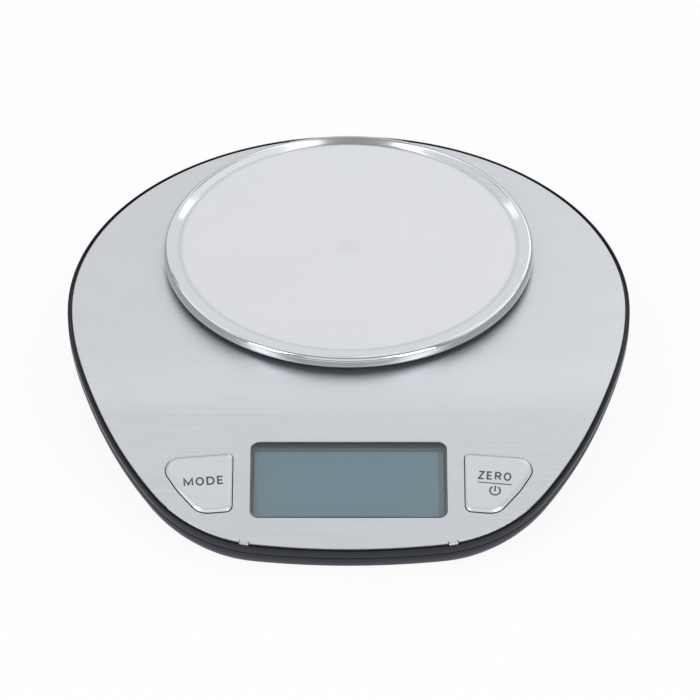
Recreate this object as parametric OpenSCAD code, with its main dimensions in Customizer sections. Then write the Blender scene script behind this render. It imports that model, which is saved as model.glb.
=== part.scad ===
// Digital kitchen scale with a round spun plate, a bent sheet cover, a display window and two keys.
// Millimetres. +Z is up, the front with the keys faces -Y, and the table is at z = 0.
// The origin is the middle of the footprint of the body.

/* [Body outline] */
// Width across the round back of the body
body_w = 218; // [210:1:232]
// Length of the body from front to back
body_l = 232; // [228:1:248]
// Radius of the long side curves, on the master outline
side_r = 166; // [155:1:200]
// Radius of the two front corners, on the master outline
corner_r = 58; // [54:1:62]
// Distance of each front corner's centre from the middle line
corner_x = 28.5; // [26:0.5:31]
// Radius of the front edge, on the master outline
front_r = 300; // [260:10:420]

/* [Body heights] */
// Height of the flat top of the cover above the table
top_z = 31; // [30.5:0.5:35]
// Height of the underside above the table
base_z = 1.2; // [0.8:0.1:1.4]
// Slope of the front panel below the horizontal, in degrees
panel_slope = 16; // [14:0.5:17]
// Length of the sloping panel, seen from above
panel_l = 59; // [57:0.5:61]
// Length of the bend between the flat top and the slope, seen from above
bend_l = 32; // [26:1:38]

/* [Shells] */
// Height of the upper housing's rim
rim_h = 2.9; // [2.6:0.1:3.2]
// Width of the rim that shows round the cover
rim_w = 1.35; // [1:0.05:1.8]
// How far the cover stands above the rim
rim_step = 0.3; // [0.1:0.05:0.4]
// Width of the lip outside the groove that runs round between cover and rim
rim_lip = 0.55; // [0.5:0.05:0.7]
// Depth of that groove, from the cover's upper face
groove_h = 1.3; // [1:0.1:1.6]
// Gap at the parting line between the two shells
seam = 0.35; // [0.2:0.05:0.5]
// Wall of the lower housing
wall = 2.4; // [2:0.1:2.6]
// Floor of the lower housing
floor_t = 2.2; // [2:0.1:2.6]
// Radius of the lower housing's shoulder under the parting line
shoulder_r = 9; // [8:0.5:11]
// Lean of the lower housing's wall under the shoulder, in degrees
lean = 50; // [44:1:52]
// Length of the tongue that centres the upper housing in the lower one
tongue_h = 2; // [1.5:0.1:2.4]
// Thickness of that tongue
tongue_t = 1.2; // [1:0.1:1.4]

/* [Cover] */
// Thickness of the cover sheet
sheet_t = 0.6; // [0.4:0.1:0.8]
// Gap between the sheet and the rim
edge_gap = 0.25; // [0.15:0.05:0.35]
// Width of the bent tabs on the front edge
tab_w = 3.4; // [2.5:0.1:4.5]
// How far the bent tabs reach down
tab_h = 2; // [1.5:0.1:2.2]
// Width of the notch in the rim in front of each tab
tab_notch = 0.8; // [0.4:0.05:0.9]
// How much further the sheet's edge is set in along the sides
side_set = 0.2; // [0:0.05:0.4]
// Distance from the body's front edge to where that starts
side_set_front = 19.1; // [15:0.1:25]
// Diameter of the opening for the hub
hub_hole_d = 42; // [40:0.5:46]

/* [Display] */
// Width of the window opening
window_w = 73.5; // [70:0.5:74]
// Height of the window opening along the panel
window_h = 33.8; // [31:0.2:34.2]
// Distance from the body's front edge to the middle of the window
window_front = 31.1; // [30.8:0.1:32]
// Corner radius of the window
window_r = 3.2; // [2:0.1:4]
// Gap round the window and round each key
panel_gap = 0.25; // [0.2:0.05:0.35]
// Thickness of the lens where it fills the opening
lens_t = 1.75; // [1.6:0.05:1.9]
// How far the lens stands above the cover
lens_proud = 0.2; // [0.1:0.05:0.4]
// Width of the flange that holds the lens under the sheet
lens_flange = 1.1; // [0.8:0.05:1.2]
// Depth of the display below the cover
lcd_depth = 3.6; // [3.5:0.05:3.8]
// Thickness of each display glass
glass_t = 0.9; // [0.7:0.05:1]
// Thickness of each polariser
polariser_t = 0.2; // [0.15:0.05:0.25]

/* [Keys] */
// How far a key stands above the cover
key_proud = 0.8; // [0.6:0.05:1]
// Travel of a key
key_travel = 0.3; // [0.2:0.05:0.35]
// Distance between the window and each key
key_space = 6.75; // [6.6:0.05:7]
// Width of a key at its outer corner
key_w = 28.7; // [27.2:0.1:29]
// Thickness of the metal cap on a key
cap_t = 1.6; // [1.3:0.1:1.8]
// Rounding of the cap's upper edge
cap_r = 0.6; // [0.3:0.05:0.7]

/* [Weighing plate] */
// Diameter of the weighing plate
plate_d = 145; // [136:1:150]
// Distance from the body's back edge to the middle of the plate
plate_back = 80.75; // [80:0.25:88]
// Height of the plate from the skirt's lower edge to the rim
plate_h = 5; // [4.6:0.1:6]
// Gap between the plate's skirt and the cover
plate_gap = 1.6; // [1.4:0.1:2.4]
// Thickness of the plate's sheet
plate_t = 0.7; // [0.5:0.05:0.9]
// Depth of the dish in the middle of the plate
dish = 0.8; // [0.4:0.1:1.8]
// Width of the raised ring round the dish
ring_w = 6.5; // [4:0.25:8]
// Height of that ring above the edge of the dish
ring_h = 0.6; // [0.3:0.05:1]
// Radius of the rolled edge
roll_r = 1.4; // [0.8:0.1:2]
// Radius of the curl at the skirt's lower edge
curl_r = 1.4; // [1:0.1:1.8]

/* [Carrier] */
// Diameter of the plate carrier
carrier_d = 128; // [110:1:130]
// Thickness of the plate carrier
carrier_t = 1.7; // [1.4:0.1:1.9]
// Diameter of the carrier's hub
hub_d = 35; // [34:0.5:36]
// Travel of the carrier under full load
carrier_travel = 0.4; // [0.2:0.05:0.4]
// Thickness of the arm that carries the hub
arm_t = 3; // [2.5:0.1:3.2]
// Width of the arm
arm_w = 28; // [24:0.5:30]
// Distance of each plate pad from the plate's middle
pad_ring = 48; // [40:0.5:54]
// Diameter of a plate pad
pad_d = 10; // [7:0.5:12]

/* [Load cell] */
// Length of the load cell
cell_l = 75; // [74:0.5:80]
// Width and height of the load cell
cell_s = 12; // [11.4:0.1:12.4]
// Diameter of the two bores in the middle of the load cell
cell_bore = 9; // [8:0.1:9.6]
// Distance between those two bores
cell_pitch = 13; // [12:0.1:14]
// Height of the seat that the load cell is screwed to
seat_h = 2.4; // [2:0.1:2.8]
// Thickness of the shim under the load cell
shim_t = 1; // [0.8:0.1:1.2]
// Gap between the load cell and the overload screw
stop_gap = 0.6; // [0.5:0.05:0.8]

/* [Battery] */
// Diameter of a battery cell
battery_d = 10.5; // [10:0.1:10.8]
// Length of a battery cell with its button
battery_l = 44.5; // [43:0.1:45]
// Distance from the body's back edge to the middle of the batteries
battery_back = 48; // [47:0.5:50]
// Length of a battery spring
spring_l = 6.2; // [5:0.1:7]
// Wire thickness of a battery spring
spring_wire = 0.7; // [0.5:0.05:0.8]
// Turns of a battery spring
spring_turns = 5; // [3:1:6]
// Wall of the battery box
box_t = 1.5; // [1.3:0.1:1.8]
// Thickness of the battery door
door_t = 1.6; // [1.3:0.1:1.7]
// Radius of the door's round hinge edge
hinge_r = 1.2; // [1.1:0.05:1.3]
// Radius of the door's hinge pins
pin_r = 0.8; // [0.6:0.05:0.8]
// Gap round the battery door
door_gap = 0.35; // [0.25:0.05:0.45]

/* [Fasteners and feet] */
// Diameter of a rubber foot
foot_d = 12; // [9:0.5:14]
// Thickness of a rubber foot
foot_t = 2; // [1.8:0.1:2.2]
// Shank diameter of a housing screw
screw_d = 2.8; // [2.4:0.1:3]
// Head diameter of a housing screw
head_d = 5.2; // [4.6:0.1:5.4]
// Clearance between a screw and its hole
screw_gap = 0.1; // [0.05:0.05:0.2]
// Height of a screw's head, as a share of the head's diameter
head_share = 0.31; // [0.28:0.01:0.34]

/* [Hidden] */

far = 200;                 // reach of a cutting shape past the body
eps = 0.01;                // overrun that keeps a cut from ending on a face
edge_step = 7;             // longest straight step along the body's outline
touch = 0.3;               // gap that a moving or soft piece keeps from its seat
front_y = -body_l / 2;
back_y = body_l / 2;
panel_y = front_y + panel_l;
bend_y = panel_y + bend_l;
bend_r = bend_l / sin(panel_slope);
bend_drop = bend_r * (1 - cos(panel_slope));
plate_y = back_y - plate_back;
floor_z = base_z + floor_t;

function unit(v) = v / norm(v);

// Height of the cover's upper face at a place y
function cover_z(y) =
    y >= bend_y ? top_z
    : y >= panel_y ? top_z - bend_r + sqrt(bend_r * bend_r - (bend_y - y) * (bend_y - y))
    : top_z - bend_drop - (panel_y - y) * tan(panel_slope);

// The master outline is four arcs on each side that run into each other: back, side, corner and
// front. It is stretched to the body's width and length. An angle of 0 points back and 90 right.
master = [218, 232];
stretch = [body_w / master.x, body_l / master.y];
back_r = master.x / 2;
back_c = [0, master.y / 2 - back_r];
front_c = [0, front_r - master.y / 2];
corner_c = [corner_x, front_c.y - sqrt(pow(front_r - corner_r, 2) - corner_x * corner_x)];
side_a = side_r - back_r;
side_b = side_r - corner_r;
centre_gap = norm(corner_c - back_c);
centre_u = (corner_c - back_c) / centre_gap;
side_along = (side_a * side_a - side_b * side_b + centre_gap * centre_gap) / (2 * centre_gap);
side_off = sqrt(side_a * side_a - side_along * side_along);
side_c = back_c + side_along * centre_u + side_off * [centre_u.y, -centre_u.x];
turn_1 = atan2(back_c.x - side_c.x, back_c.y - side_c.y);
turn_2 = atan2(corner_c.x - side_c.x, corner_c.y - side_c.y);
turn_3 = atan2(corner_c.x, corner_c.y - front_c.y);

function arc_steps(r, a) = max(2, ceil(r * a * PI / 180 / edge_step));
function arc_stations(c, r, a, b) =
    let(n = arc_steps(r, b - a)) [for (i = [0:n - 1]) [c.x, c.y, r, a + (b - a) * i / n]];
right_stations = concat(
    arc_stations(back_c, back_r, 0, turn_1), arc_stations(side_c, side_r, turn_1, turn_2),
    arc_stations(corner_c, corner_r, turn_2, turn_3), arc_stations(front_c, front_r, turn_3, 180),
    [[0, front_c.y, front_r, 180]]);
right_n = len(right_stations);
stations = concat(right_stations,
    [for (i = [right_n - 2:-1:1]) let(s = right_stations[i]) [-s[0], s[1], s[2], -s[3]]]);

// Point of the outline at a station, set in from the body's edge
function edge_normal(s) = unit([sin(s[3]) / stretch.x, cos(s[3]) / stretch.y]);
function edge_point(s, inset) =
    [(s[0] + s[2] * sin(s[3])) * stretch.x, (s[1] + s[2] * cos(s[3])) * stretch.y]
    - inset * edge_normal(s);
function edge_outline(inset) = [for (s = stations) edge_point(s, inset)];

// How far the lower housing's wall has drawn in at a depth below the parting line
function draw_in(d) =
    d < shoulder_r * sin(lean) ? shoulder_r - sqrt(shoulder_r * shoulder_r - d * d)
    : shoulder_r * (1 - cos(lean)) + (d - shoulder_r * sin(lean)) * tan(lean);
// Depths of the rings down the wall, as shares of the wall's height
ring_depths = [0, 0.07, 0.14, 0.21, 0.29, 0.42, 0.66, 1];

function parting_z(s) = cover_z(edge_point(s, 0).y) - rim_h;
function wall_ring(inset, low_z, share) = [for (s = stations)
    let(d = share * (parting_z(s) - low_z), p = edge_point(s, inset + draw_in(d)))
    [p.x, p.y, parting_z(s) - d]];
function wall_rings(inset, low_z) = concat(
    [[for (s = stations) let(p = edge_point(s, inset)) [p.x, p.y, top_z + rim_h]]],
    [for (share = ring_depths) wall_ring(inset, low_z, share)]);

// Places on the sloping panel: x along the window, y up the slope, z out of the cover
window_y = front_y + window_front;
module on_panel() translate([0, window_y, cover_z(window_y)]) rotate([panel_slope, 0, 0]) children();
panel_cos = cos(panel_slope);
sheet_w = sheet_t * panel_cos;
deck_w = rim_h * panel_cos;
board_top = -lcd_depth - 4.4;
board_t = 1.6;
board_low = -13;           // front edge of the board, up the slope from the window's middle
board_high = 18;
key_in = window_w / 2 + key_space;
key_out = key_in + key_w;
board_half = key_in + 14.5;
switch_s = 6;              // side of a key switch
switch_h = 2;
switch_at = [key_in + 10.5, -1];
plunger_d = 3.4;
plunger_top = board_top + switch_h + 1;
plunger_deep = 0.6;
flange_t = 1;
flange_w = 1;
flange_top = -deck_w - touch / 2;
stem_d = 4;
lens_round = 0.25;
lcd_half_w = window_w / 2 - 0.15;
lcd_half_h = window_h / 2 + 0.1;
polariser_left = 1.2;       // margin of bare glass left of the front polariser
polariser_right = 3;       // margin right of it, over the glass's fill port
holder_w = lcd_half_w + 1.45;
holder_h = lcd_half_h + 1.3;
holder_fit = 0.2;
lip_w = 1;                 // how far the holder's lip covers the front glass
shelf_w = 1.1;             // how far its shelf carries the rear glass
shelf_low = -lcd_depth - polariser_t - 2 * glass_t;
post_d = 3.7;
board_screw_d = 1.6;
board_head_d = 3;
board_posts = [for (x = [-1, 1], y = [board_low + 3, board_high - 3.5]) [x * (key_in - 3.25), y]];

// Levels of the plate, its carrier and the load cell
plate_bottom = top_z + plate_gap;
plate_top = plate_bottom + plate_h;
ring_in = plate_d / 2 - ring_w;
dish_edge = plate_top - ring_h;
dish_floor = dish_edge - dish;
dish_flat = 6;             // radius of the flat spot in the middle of the dish
dish_r = (pow(ring_in - dish_flat, 2) + dish * dish) / (2 * dish);
function dish_z(r) = dish_floor + dish_r - sqrt(dish_r * dish_r - pow(max(r - dish_flat, 0), 2));
carrier_bottom = top_z + carrier_travel + 0.9;
carrier_top = carrier_bottom + carrier_t;
seat_z = floor_z + seat_h;
cell_bottom = seat_z + shim_t;
cell_top = cell_bottom + cell_s;
spacer_t = 2.2;
arm_bottom = cell_top + spacer_t;
arm_top = arm_bottom + arm_t;
cell_screw_d = 4;
cell_head_d = 7;
cell_screw_at = [-cell_l / 2 + 6, -cell_l / 2 + 16];
hub_wall = 6;
hub_bite = 5;              // how far a hub screw reaches into the hub
hub_screw_at = [90, 210, 330];

// The battery box and its door
batt_y = back_y - battery_back;
batt_pitch = battery_d + 0.8;
contact_t = 0.4;
contact_s = battery_d - 2.3;
spring_r = battery_d / 2 - 2.25;
box_in_l = battery_l + spring_l + 2 * contact_t;
box_in_w = battery_d + batt_pitch + 1.2;
box_top = base_z + door_t + 0.2 + battery_d + 0.6;
batt_z = base_z + door_t + 0.2 + battery_d / 2;
hinge_y = batt_y + box_in_w / 2 - hinge_r - door_gap;
hinge_z = base_z + hinge_r;
pin_l = 1;
pin_gap = 0.06;
tongue_rise = 2.2;         // height of the spring tongue on the door

// Screw places as x, y and the height where the two shells' posts meet
function post_place(x, y, drop) = [x, y, cover_z(y) - drop];
housing_posts = [
    post_place(40, back_y - 46, 17), post_place(body_w / 2 - 39, plate_y - 23, 17),
    post_place(body_w / 2 - 47, bend_y - 20, 15), post_place(24, front_y + 9.5, 5.7)
];
post_r = 4;
feet = [[48, front_y + 32], [58, plate_y + 19]];
foot_recess = foot_t - base_z;
bore_fn = 48;

module both_sides() { children(); mirror([1, 0, 0]) children(); }

// Everything under the cover's upper face, lowered by drop
module below_cover(drop) {
    rotate([90, 0, 90]) linear_extrude(2 * far, center = true) translate([0, -drop]) {
        translate([bend_y, -far]) square([far, far + top_z]);
        intersection() {
            translate([bend_y, top_z - bend_r]) circle(bend_r, $fn = 360);
            translate([panel_y, -far]) square([bend_l, 2 * far]);
        }
        polygon([[panel_y, -far], [panel_y, cover_z(panel_y)], [-far, cover_z(-far)], [-far, -far]]);
    }
}

module band(upper, lower) difference() { below_cover(upper); below_cover(lower); }

module edge_prism(inset) translate([0, 0, -far / 2]) linear_extrude(far) polygon(edge_outline(inset));

module loft(rings) {
    n = len(rings[0]);
    last = len(rings) - 1;
    polyhedron(points = [for (r = rings) each r], convexity = 4, faces = concat(
        [[for (i = [0:n - 1]) i]], [[for (i = [n - 1:-1:0]) last * n + i]],
        [for (k = [0:last - 1], i = [0:n - 1]) [k * n + (i + 1) % n, k * n + i, (k + 1) * n + i]],
        [for (k = [0:last - 1], i = [0:n - 1])
            [k * n + (i + 1) % n, (k + 1) * n + i, (k + 1) * n + (i + 1) % n]]));
}

// A closed outline whose corners are arcs: each corner is a point and its radius
function corner_arc(p, q, r, radius, n) =
    let(a = (p - q) / norm(p - q), b = (r - q) / norm(r - q), half = acos(a * b) / 2,
        mid = (a + b) / norm(a + b), c = q + mid * radius / sin(half),
        s = q + a * radius / tan(half) - c, e = q + b * radius / tan(half) - c,
        from = atan2(s.y, s.x), sweep = atan2(s.x * e.y - s.y * e.x, s * e))
    [for (i = [0:n]) c + radius * [cos(from + sweep * i / n), sin(from + sweep * i / n)]];
function rounded(corners, n = 8) = let(m = len(corners))
    [for (i = [0:m - 1]) each corner_arc(corners[(i + m - 1) % m][0], corners[i][0],
        corners[(i + 1) % m][0], corners[i][1], n)];
function rounded_box(w, h, r) = rounded([
    [[w / 2, h / 2], r], [[-w / 2, h / 2], r], [[-w / 2, -h / 2], r], [[w / 2, -h / 2], r]]);

module slab(points, low, high) translate([0, 0, low]) linear_extrude(high - low) polygon(points);

// The right key's outline on the panel, grown all round by grow
key_top_slope = 5.3;
key_low_slope = 5.2;
key_leads = [31, 39];      // lean of the key's outer edge from the upright, above and below its knee
key_knee = 16;             // distance of that knee from the outer top corner
key_top = 11.35;
key_low = -14.1;
function line_point(p, a, q, b) =
    let(d = [cos(a), sin(a)], e = [cos(b), sin(b)], t = (q - p) * [e.y, -e.x] / (d * [e.y, -e.x]))
    p + t * d;
function key_outline(grow) =
    let(inner = key_in - grow, top = [key_in, key_top + grow / cos(key_top_slope)],
        low = [key_in, key_low - grow / cos(key_low_slope)],
        top_a = -key_top_slope, low_a = -key_low_slope,
        up_a = 90 - key_leads[0], down_a = 90 - key_leads[1],
        outer = line_point([key_in, key_top], top_a, [key_out, 0], 90),
        knee = outer - key_knee * [cos(up_a), sin(up_a)],
        up = outer + grow * [sin(up_a), -cos(up_a)],
        down = knee + grow * [sin(down_a), -cos(down_a)])
    rounded([
        [line_point(top, top_a, [inner, 0], 90), 1.8 + grow],
        [line_point(low, low_a, [inner, 0], 90), 2.6 + grow],
        [line_point(low, low_a, down, down_a), 7 + grow],
        [line_point(up, up_a, down, down_a), 25 + grow],
        [line_point(top, top_a, up, up_a), 5.4 + grow]]);

module lower_housing() color([0.24, 0.24, 0.29]) difference() {
    union() {
        difference() {
            intersection() {
                loft(wall_rings(0, base_z));
                below_cover(rim_h + seam);
            }
            loft(wall_rings(wall, floor_z));
        }
        both_sides() for (p = housing_posts)
            translate([p.x, p.y, base_z + eps])
                cylinder(r = post_r, h = p.z - base_z - eps, $fn = bore_fn);
        cell_seat();
        battery_box();
    }
    both_sides() for (p = housing_posts) translate([p.x, p.y, 0]) {
        translate([0, 0, -eps]) cylinder(d = screw_d + 2 * screw_gap, h = p.z + 1, $fn = bore_fn);
        translate([0, 0, -eps]) cylinder(d = head_d + 0.4, h = head_z(p) + eps, $fn = bore_fn);
    }
    both_sides() for (p = feet)
        translate([p.x, p.y, base_z - 1]) cylinder(d = foot_d + 0.4, h = 1 + foot_recess, $fn = bore_fn);
    for (x = cell_screw_at) translate([x, plate_y, 0]) {
        cylinder(d = cell_screw_d + 2 * screw_gap, h = seat_z + 1, $fn = bore_fn);
        cylinder(d = cell_head_d + 0.4, h = cell_head_z, $fn = bore_fn);
    }
    translate([-cell_screw_at[1], plate_y, floor_z]) cylinder(d = cell_screw_d, h = far, $fn = bore_fn);
    battery_hollow();
}

// Level of the seat under a housing screw's head
function head_z(p) = p.z - (p.y < panel_y ? 1.5 : 6);
cell_head_z = base_z + 2.4;

module cell_seat() {
    translate([-cell_l / 2, plate_y - cell_s / 2 - 3, base_z + eps])
        cube([26, cell_s + 6, seat_z - base_z - eps]);
    translate([-cell_screw_at[1], plate_y, floor_z - 1])
        cylinder(r = post_r, h = seat_z - floor_z, $fn = bore_fn);
}

module battery_box() {
    translate([-box_in_l / 2 - box_t, batt_y - box_in_w / 2 - box_t, base_z + eps])
        cube([box_in_l + 2 * box_t, box_in_w + 2 * box_t, box_top + box_t - base_z - eps]);
}

module battery_hollow() {
    translate([-box_in_l / 2, batt_y - box_in_w / 2, -1]) cube([box_in_l, box_in_w, box_top + 1]);
    translate([0, hinge_y, hinge_z]) rotate([0, 90, 0])
        cylinder(r = pin_r + pin_gap, h = box_in_l + 2 * pin_l + 0.4, center = true, $fn = bore_fn);
    // Scoop for a finger in front of the door
    translate([0, batt_y - box_in_w / 2 + 1, base_z - 9.2]) sphere(r = 10.6, $fn = 64);
    // Slot for the wires at the top of the left wall
    translate([-box_in_l / 2 - box_t - 1, batt_y - 2, box_top - 1.6]) cube([box_t + 2, 4, 1.6]);
}

module upper_housing() color([0.2, 0.2, 0.24]) difference() {
    union() {
        intersection() { edge_prism(0); band(rim_step, rim_h); }
        intersection() {
            difference() {
                edge_prism(wall + 0.5);
                edge_prism(wall + 0.5 + tongue_t);
            }
            band(rim_h - 0.5, rim_h + tongue_h);
        }
        intersection() {
            both_sides() for (p = housing_posts)
                translate([p.x, p.y, p.z])
                    cylinder(r = post_r, h = top_z, $fn = bore_fn);
            below_cover(rim_h - 0.5);
        }
        on_panel() for (p = board_posts) translate([p.x, p.y, board_top])
            cylinder(d = post_d, h = -board_top - deck_w + 0.4, $fn = bore_fn);
    }
    difference() { edge_prism(rim_w); below_cover(sheet_t); }
    difference() {
        edge_prism(rim_lip);
        edge_prism(rim_w + 0.15);
        below_cover(groove_h);
    }
    translate([0, plate_y, 0]) cylinder(d = hub_hole_d, h = far, $fn = 96);
    intersection() {
        both_sides() for (p = housing_posts) translate([p.x, p.y, 0])
            cylinder(d = screw_d + screw_gap, h = p.z + screw_bite(p) + 0.6, $fn = bore_fn);
        below_cover(sheet_t + 0.5);
    }
    on_panel() {
        slab(rounded_box(window_w + 2 * (lens_flange + 0.15), window_h + 2 * (lens_flange + 0.15),
            window_r + lens_flange), lens_proud - lens_t, 1);
        slab(rounded_box(window_w - 1.6, window_h - 1.6, window_r - 0.8), -deck_w - 1, 1);
        both_sides() slab(key_outline(panel_gap), -deck_w - 1, 1);
        for (p = board_posts) translate([p.x, p.y, board_top - 1])
            cylinder(d = board_screw_d + screw_gap, h = board_bite + 1.4, $fn = bore_fn);
    }
    both_sides() on_tab() translate([-tab_w / 2 - 0.3, -sheet_t - 0.45, cover_z(tab_y) - tab_h - 0.3])
        cube([tab_w + 0.6, sheet_t + 0.45 + tab_notch, tab_h + 2]);
}

// How far a housing screw bites into the upper shell's post
function screw_bite(p) = p.y < panel_y ? 2.6 : 9;
board_bite = 3.6;

// Where a bent tab of the cover sits: on the corner arc, with y out of the body
tab_station = [corner_c.x, corner_c.y, corner_r, 169.5];
tab_place = edge_point(tab_station, rim_w + edge_gap);
tab_out = edge_normal(tab_station);
module on_tab() translate([tab_place.x, tab_place.y, 0])
    rotate([0, 0, -atan2(tab_out.x, tab_out.y)]) children();
tab_y = tab_place.y;

module cover_plate() color([0.78, 0.79, 0.81]) {
    difference() {
        intersection() { edge_prism(rim_w + edge_gap); band(0, sheet_t); }
        difference() {
            translate([-far, front_y + side_set_front, 0]) cube(2 * far);
            edge_prism(rim_w + edge_gap + side_set);
        }
        translate([0, plate_y, 0]) cylinder(d = hub_hole_d, h = far, $fn = 96);
        on_panel() {
            slab(rounded_box(window_w, window_h, window_r), -5, 5);
            both_sides() slab(key_outline(panel_gap), -5, 5);
        }
    }
    intersection() {
        both_sides() on_tab()
            translate([-tab_w / 2, -sheet_t, cover_z(tab_y) - tab_h]) cube([tab_w, sheet_t, tab_h]);
        below_cover(eps);
    }
}

module rubber_feet() color([0.12, 0.12, 0.13]) both_sides() for (p = feet) translate([p.x, p.y, 0]) {
    cylinder(d1 = foot_d - 0.8, d2 = foot_d, h = 0.4, $fn = bore_fn);
    translate([0, 0, 0.4]) cylinder(d = foot_d, h = foot_t - 0.4, $fn = bore_fn);
}

// A screw that points up, with the underside of its head at z = 0
module pan_screw(d, head, length) {
    head_h = head * head_share;
    translate([0, 0, -head_h]) difference() {
        cylinder(d = head, h = head_h, $fn = bore_fn);
        for (a = [0, 90]) rotate([0, 0, a]) translate([-head / 3, -head / 14, -eps])
            cube([head / 1.5, head / 7, head_h / 2]);
    }
    translate([0, 0, -eps]) cylinder(d = d, h = length + eps, $fn = bore_fn);
}

module housing_screws() color([0.7, 0.7, 0.72]) both_sides() for (p = housing_posts)
    translate([p.x, p.y, head_z(p)])
        pan_screw(screw_d, head_d, p.z + screw_bite(p) - head_z(p));

module display_window() color([0.75, 0.82, 0.84, 0.45]) on_panel() {
    slab(rounded_box(window_w - 2 * panel_gap, window_h - 2 * panel_gap, window_r - panel_gap),
        -sheet_w - eps, lens_proud - lens_round);
    translate([0, 0, lens_proud - lens_round]) lens_edge();
    slab(rounded_box(window_w + 2 * lens_flange, window_h + 2 * lens_flange, window_r + lens_flange),
        lens_proud - lens_t, -sheet_w);
}

// Upper edge of the lens, rounded in three thin layers
module lens_edge() for (i = [0:2]) let(less = 2 * panel_gap + 0.1 + 0.2 * i * i)
    slab(rounded_box(window_w - less, window_h - less, window_r - panel_gap),
        i * lens_round / 3 - eps, (i + 1) * lens_round / 3);

module lcd_polariser() color([0.42, 0.51, 0.53]) on_panel()
    translate([-lcd_half_w + polariser_left, -lcd_half_h + 1.2, -lcd_depth - polariser_t])
        cube([2 * lcd_half_w - polariser_left - polariser_right, 2 * lcd_half_h - 4, polariser_t]);

module lcd_front_glass() color([0.6, 0.68, 0.68]) on_panel()
    translate([-lcd_half_w, -lcd_half_h, -lcd_depth - polariser_t - glass_t])
        cube([2 * lcd_half_w, 2 * lcd_half_h, glass_t]);

module lcd_rear_glass() color([0.55, 0.64, 0.64]) on_panel()
    translate([-lcd_half_w, -lcd_half_h, shelf_low])
        cube([2 * lcd_half_w, 2 * lcd_half_h - 3, glass_t]);

module lcd_reflector() color([0.7, 0.72, 0.7]) on_panel()
    translate([-lcd_half_w + 1.5, -lcd_half_h + 1.5, shelf_low - polariser_t])
        cube([2 * lcd_half_w - 3, 2 * lcd_half_h - 5.4, polariser_t]);

module lcd_holder() color([0.16, 0.16, 0.18]) on_panel() {
    pocket_w = lcd_half_w + holder_fit;
    pocket_h = lcd_half_h + holder_fit;
    difference() {
        translate([-holder_w, -holder_h, board_top])
            cube([2 * holder_w, 2 * holder_h, -board_top - deck_w]);
        translate([-pocket_w, -pocket_h, shelf_low]) cube([2 * pocket_w, 2 * pocket_h, 2 * glass_t]);
        translate([-lcd_half_w + lip_w, -lcd_half_h + lip_w, -lcd_depth - 1])
            cube([2 * (lcd_half_w - lip_w), 2 * (lcd_half_h - lip_w), far]);
        translate([-lcd_half_w + shelf_w, -lcd_half_h + shelf_w, board_top - 1])
            cube([2 * (lcd_half_w - shelf_w), 2 * lcd_half_h - 4.6, shelf_low - board_top + 1 + eps]);
        translate([-strip_l / 2 - 0.3, lcd_half_h - 2.9, board_top - 1])
            cube([strip_l + 0.6, 2.6, shelf_low - board_top + 1 + eps]);
    }
}

strip_l = 2 * lcd_half_w - 6;
module elastomer_strip() color([0.75, 0.35, 0.3]) on_panel()
    translate([-strip_l / 2, lcd_half_h - 2.7, board_top])
        cube([strip_l, 2.2, -lcd_depth - polariser_t - glass_t - board_top]);

module main_board() color([0.12, 0.35, 0.2]) on_panel() difference() {
    slab(rounded([[[board_half, board_high], 3], [[-board_half, board_high], 3],
        [[-board_half, board_low], 6], [[board_half, board_low], 6]]), board_top - board_t, board_top);
    for (p = board_posts) translate([p.x, p.y, board_top - 3])
        cylinder(d = board_screw_d + 4 * screw_gap, h = 5, $fn = bore_fn);
}

// Drop of black resin over the controller, under the board
module board_chip() color([0.08, 0.08, 0.09]) on_panel() translate([6, 2, board_top - board_t])
    rotate_extrude($fn = bore_fn) polygon(concat([[0, 0]],
        [for (a = [0:15:90]) [5 + 1.6 * cos(a), -1.6 * sin(a)]], [[0, -1.9]]));

// Chip capacitors and resistors on the board's underside, in rows
module board_parts() color([0.72, 0.62, 0.45]) on_panel() {
    for (i = [0:4], j = [0:2])
        translate([-36 + i * 5, -4 + j * 5, board_top - board_t - 0.7]) cube([2, 1.25, 0.7]);
    for (i = [0:1]) translate([26 + i * 9, 8, board_top - board_t])
        mirror([0, 0, 1]) cylinder(d = 5, h = 4.2, $fn = bore_fn);
}

module board_crystal() color([0.8, 0.8, 0.8]) on_panel()
    translate([20, -6, board_top - board_t - 2.2]) cube([8, 3, 2.2]);

module board_screws() color([0.7, 0.7, 0.72]) on_panel() for (p = board_posts)
    translate([p.x, p.y, board_top - board_t])
        pan_screw(board_screw_d, board_head_d, board_t + board_bite - 0.6);

module key_switch() color([0.15, 0.15, 0.16]) on_panel()
    translate([switch_at.x, switch_at.y, board_top]) difference() {
        translate([-switch_s / 2, -switch_s / 2, 0]) cube([switch_s, switch_s, switch_h]);
        translate([0, 0, switch_h - plunger_deep - key_travel - 0.2])
            cylinder(d = plunger_d + 0.12, h = 3, $fn = bore_fn);
    }

module switch_plunger() color([0.85, 0.84, 0.8]) on_panel()
    translate([switch_at.x, switch_at.y, board_top + switch_h - plunger_deep])
        cylinder(d = plunger_d, h = plunger_top - board_top - switch_h + plunger_deep, $fn = bore_fn);

module key_carrier() color([0.3, 0.3, 0.33]) on_panel() {
    slab(key_outline(-0.1), flange_top - eps, key_proud - cap_t);
    slab(key_outline(flange_w), flange_top - flange_t, flange_top);
    translate([switch_at.x, switch_at.y, plunger_top])
        cylinder(d = stem_d, h = flange_top - flange_t - plunger_top + eps, $fn = bore_fn);
}

// Pressed metal cap whose upper edge is rolled in layers that follow a quarter circle
module key_cap() color([0.8, 0.81, 0.83]) on_panel() {
    slab(key_outline(0), key_proud - cap_t, key_proud - cap_r);
    for (i = [0:3]) let(a = (i + 1) * 90 / 4, low = cap_r * sin(i * 90 / 4), high = cap_r * sin(a))
        slab(key_outline(-cap_r * (1 - cos(a - 11))),
            key_proud - cap_r + low - eps, key_proud - cap_r + high);
}

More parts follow.
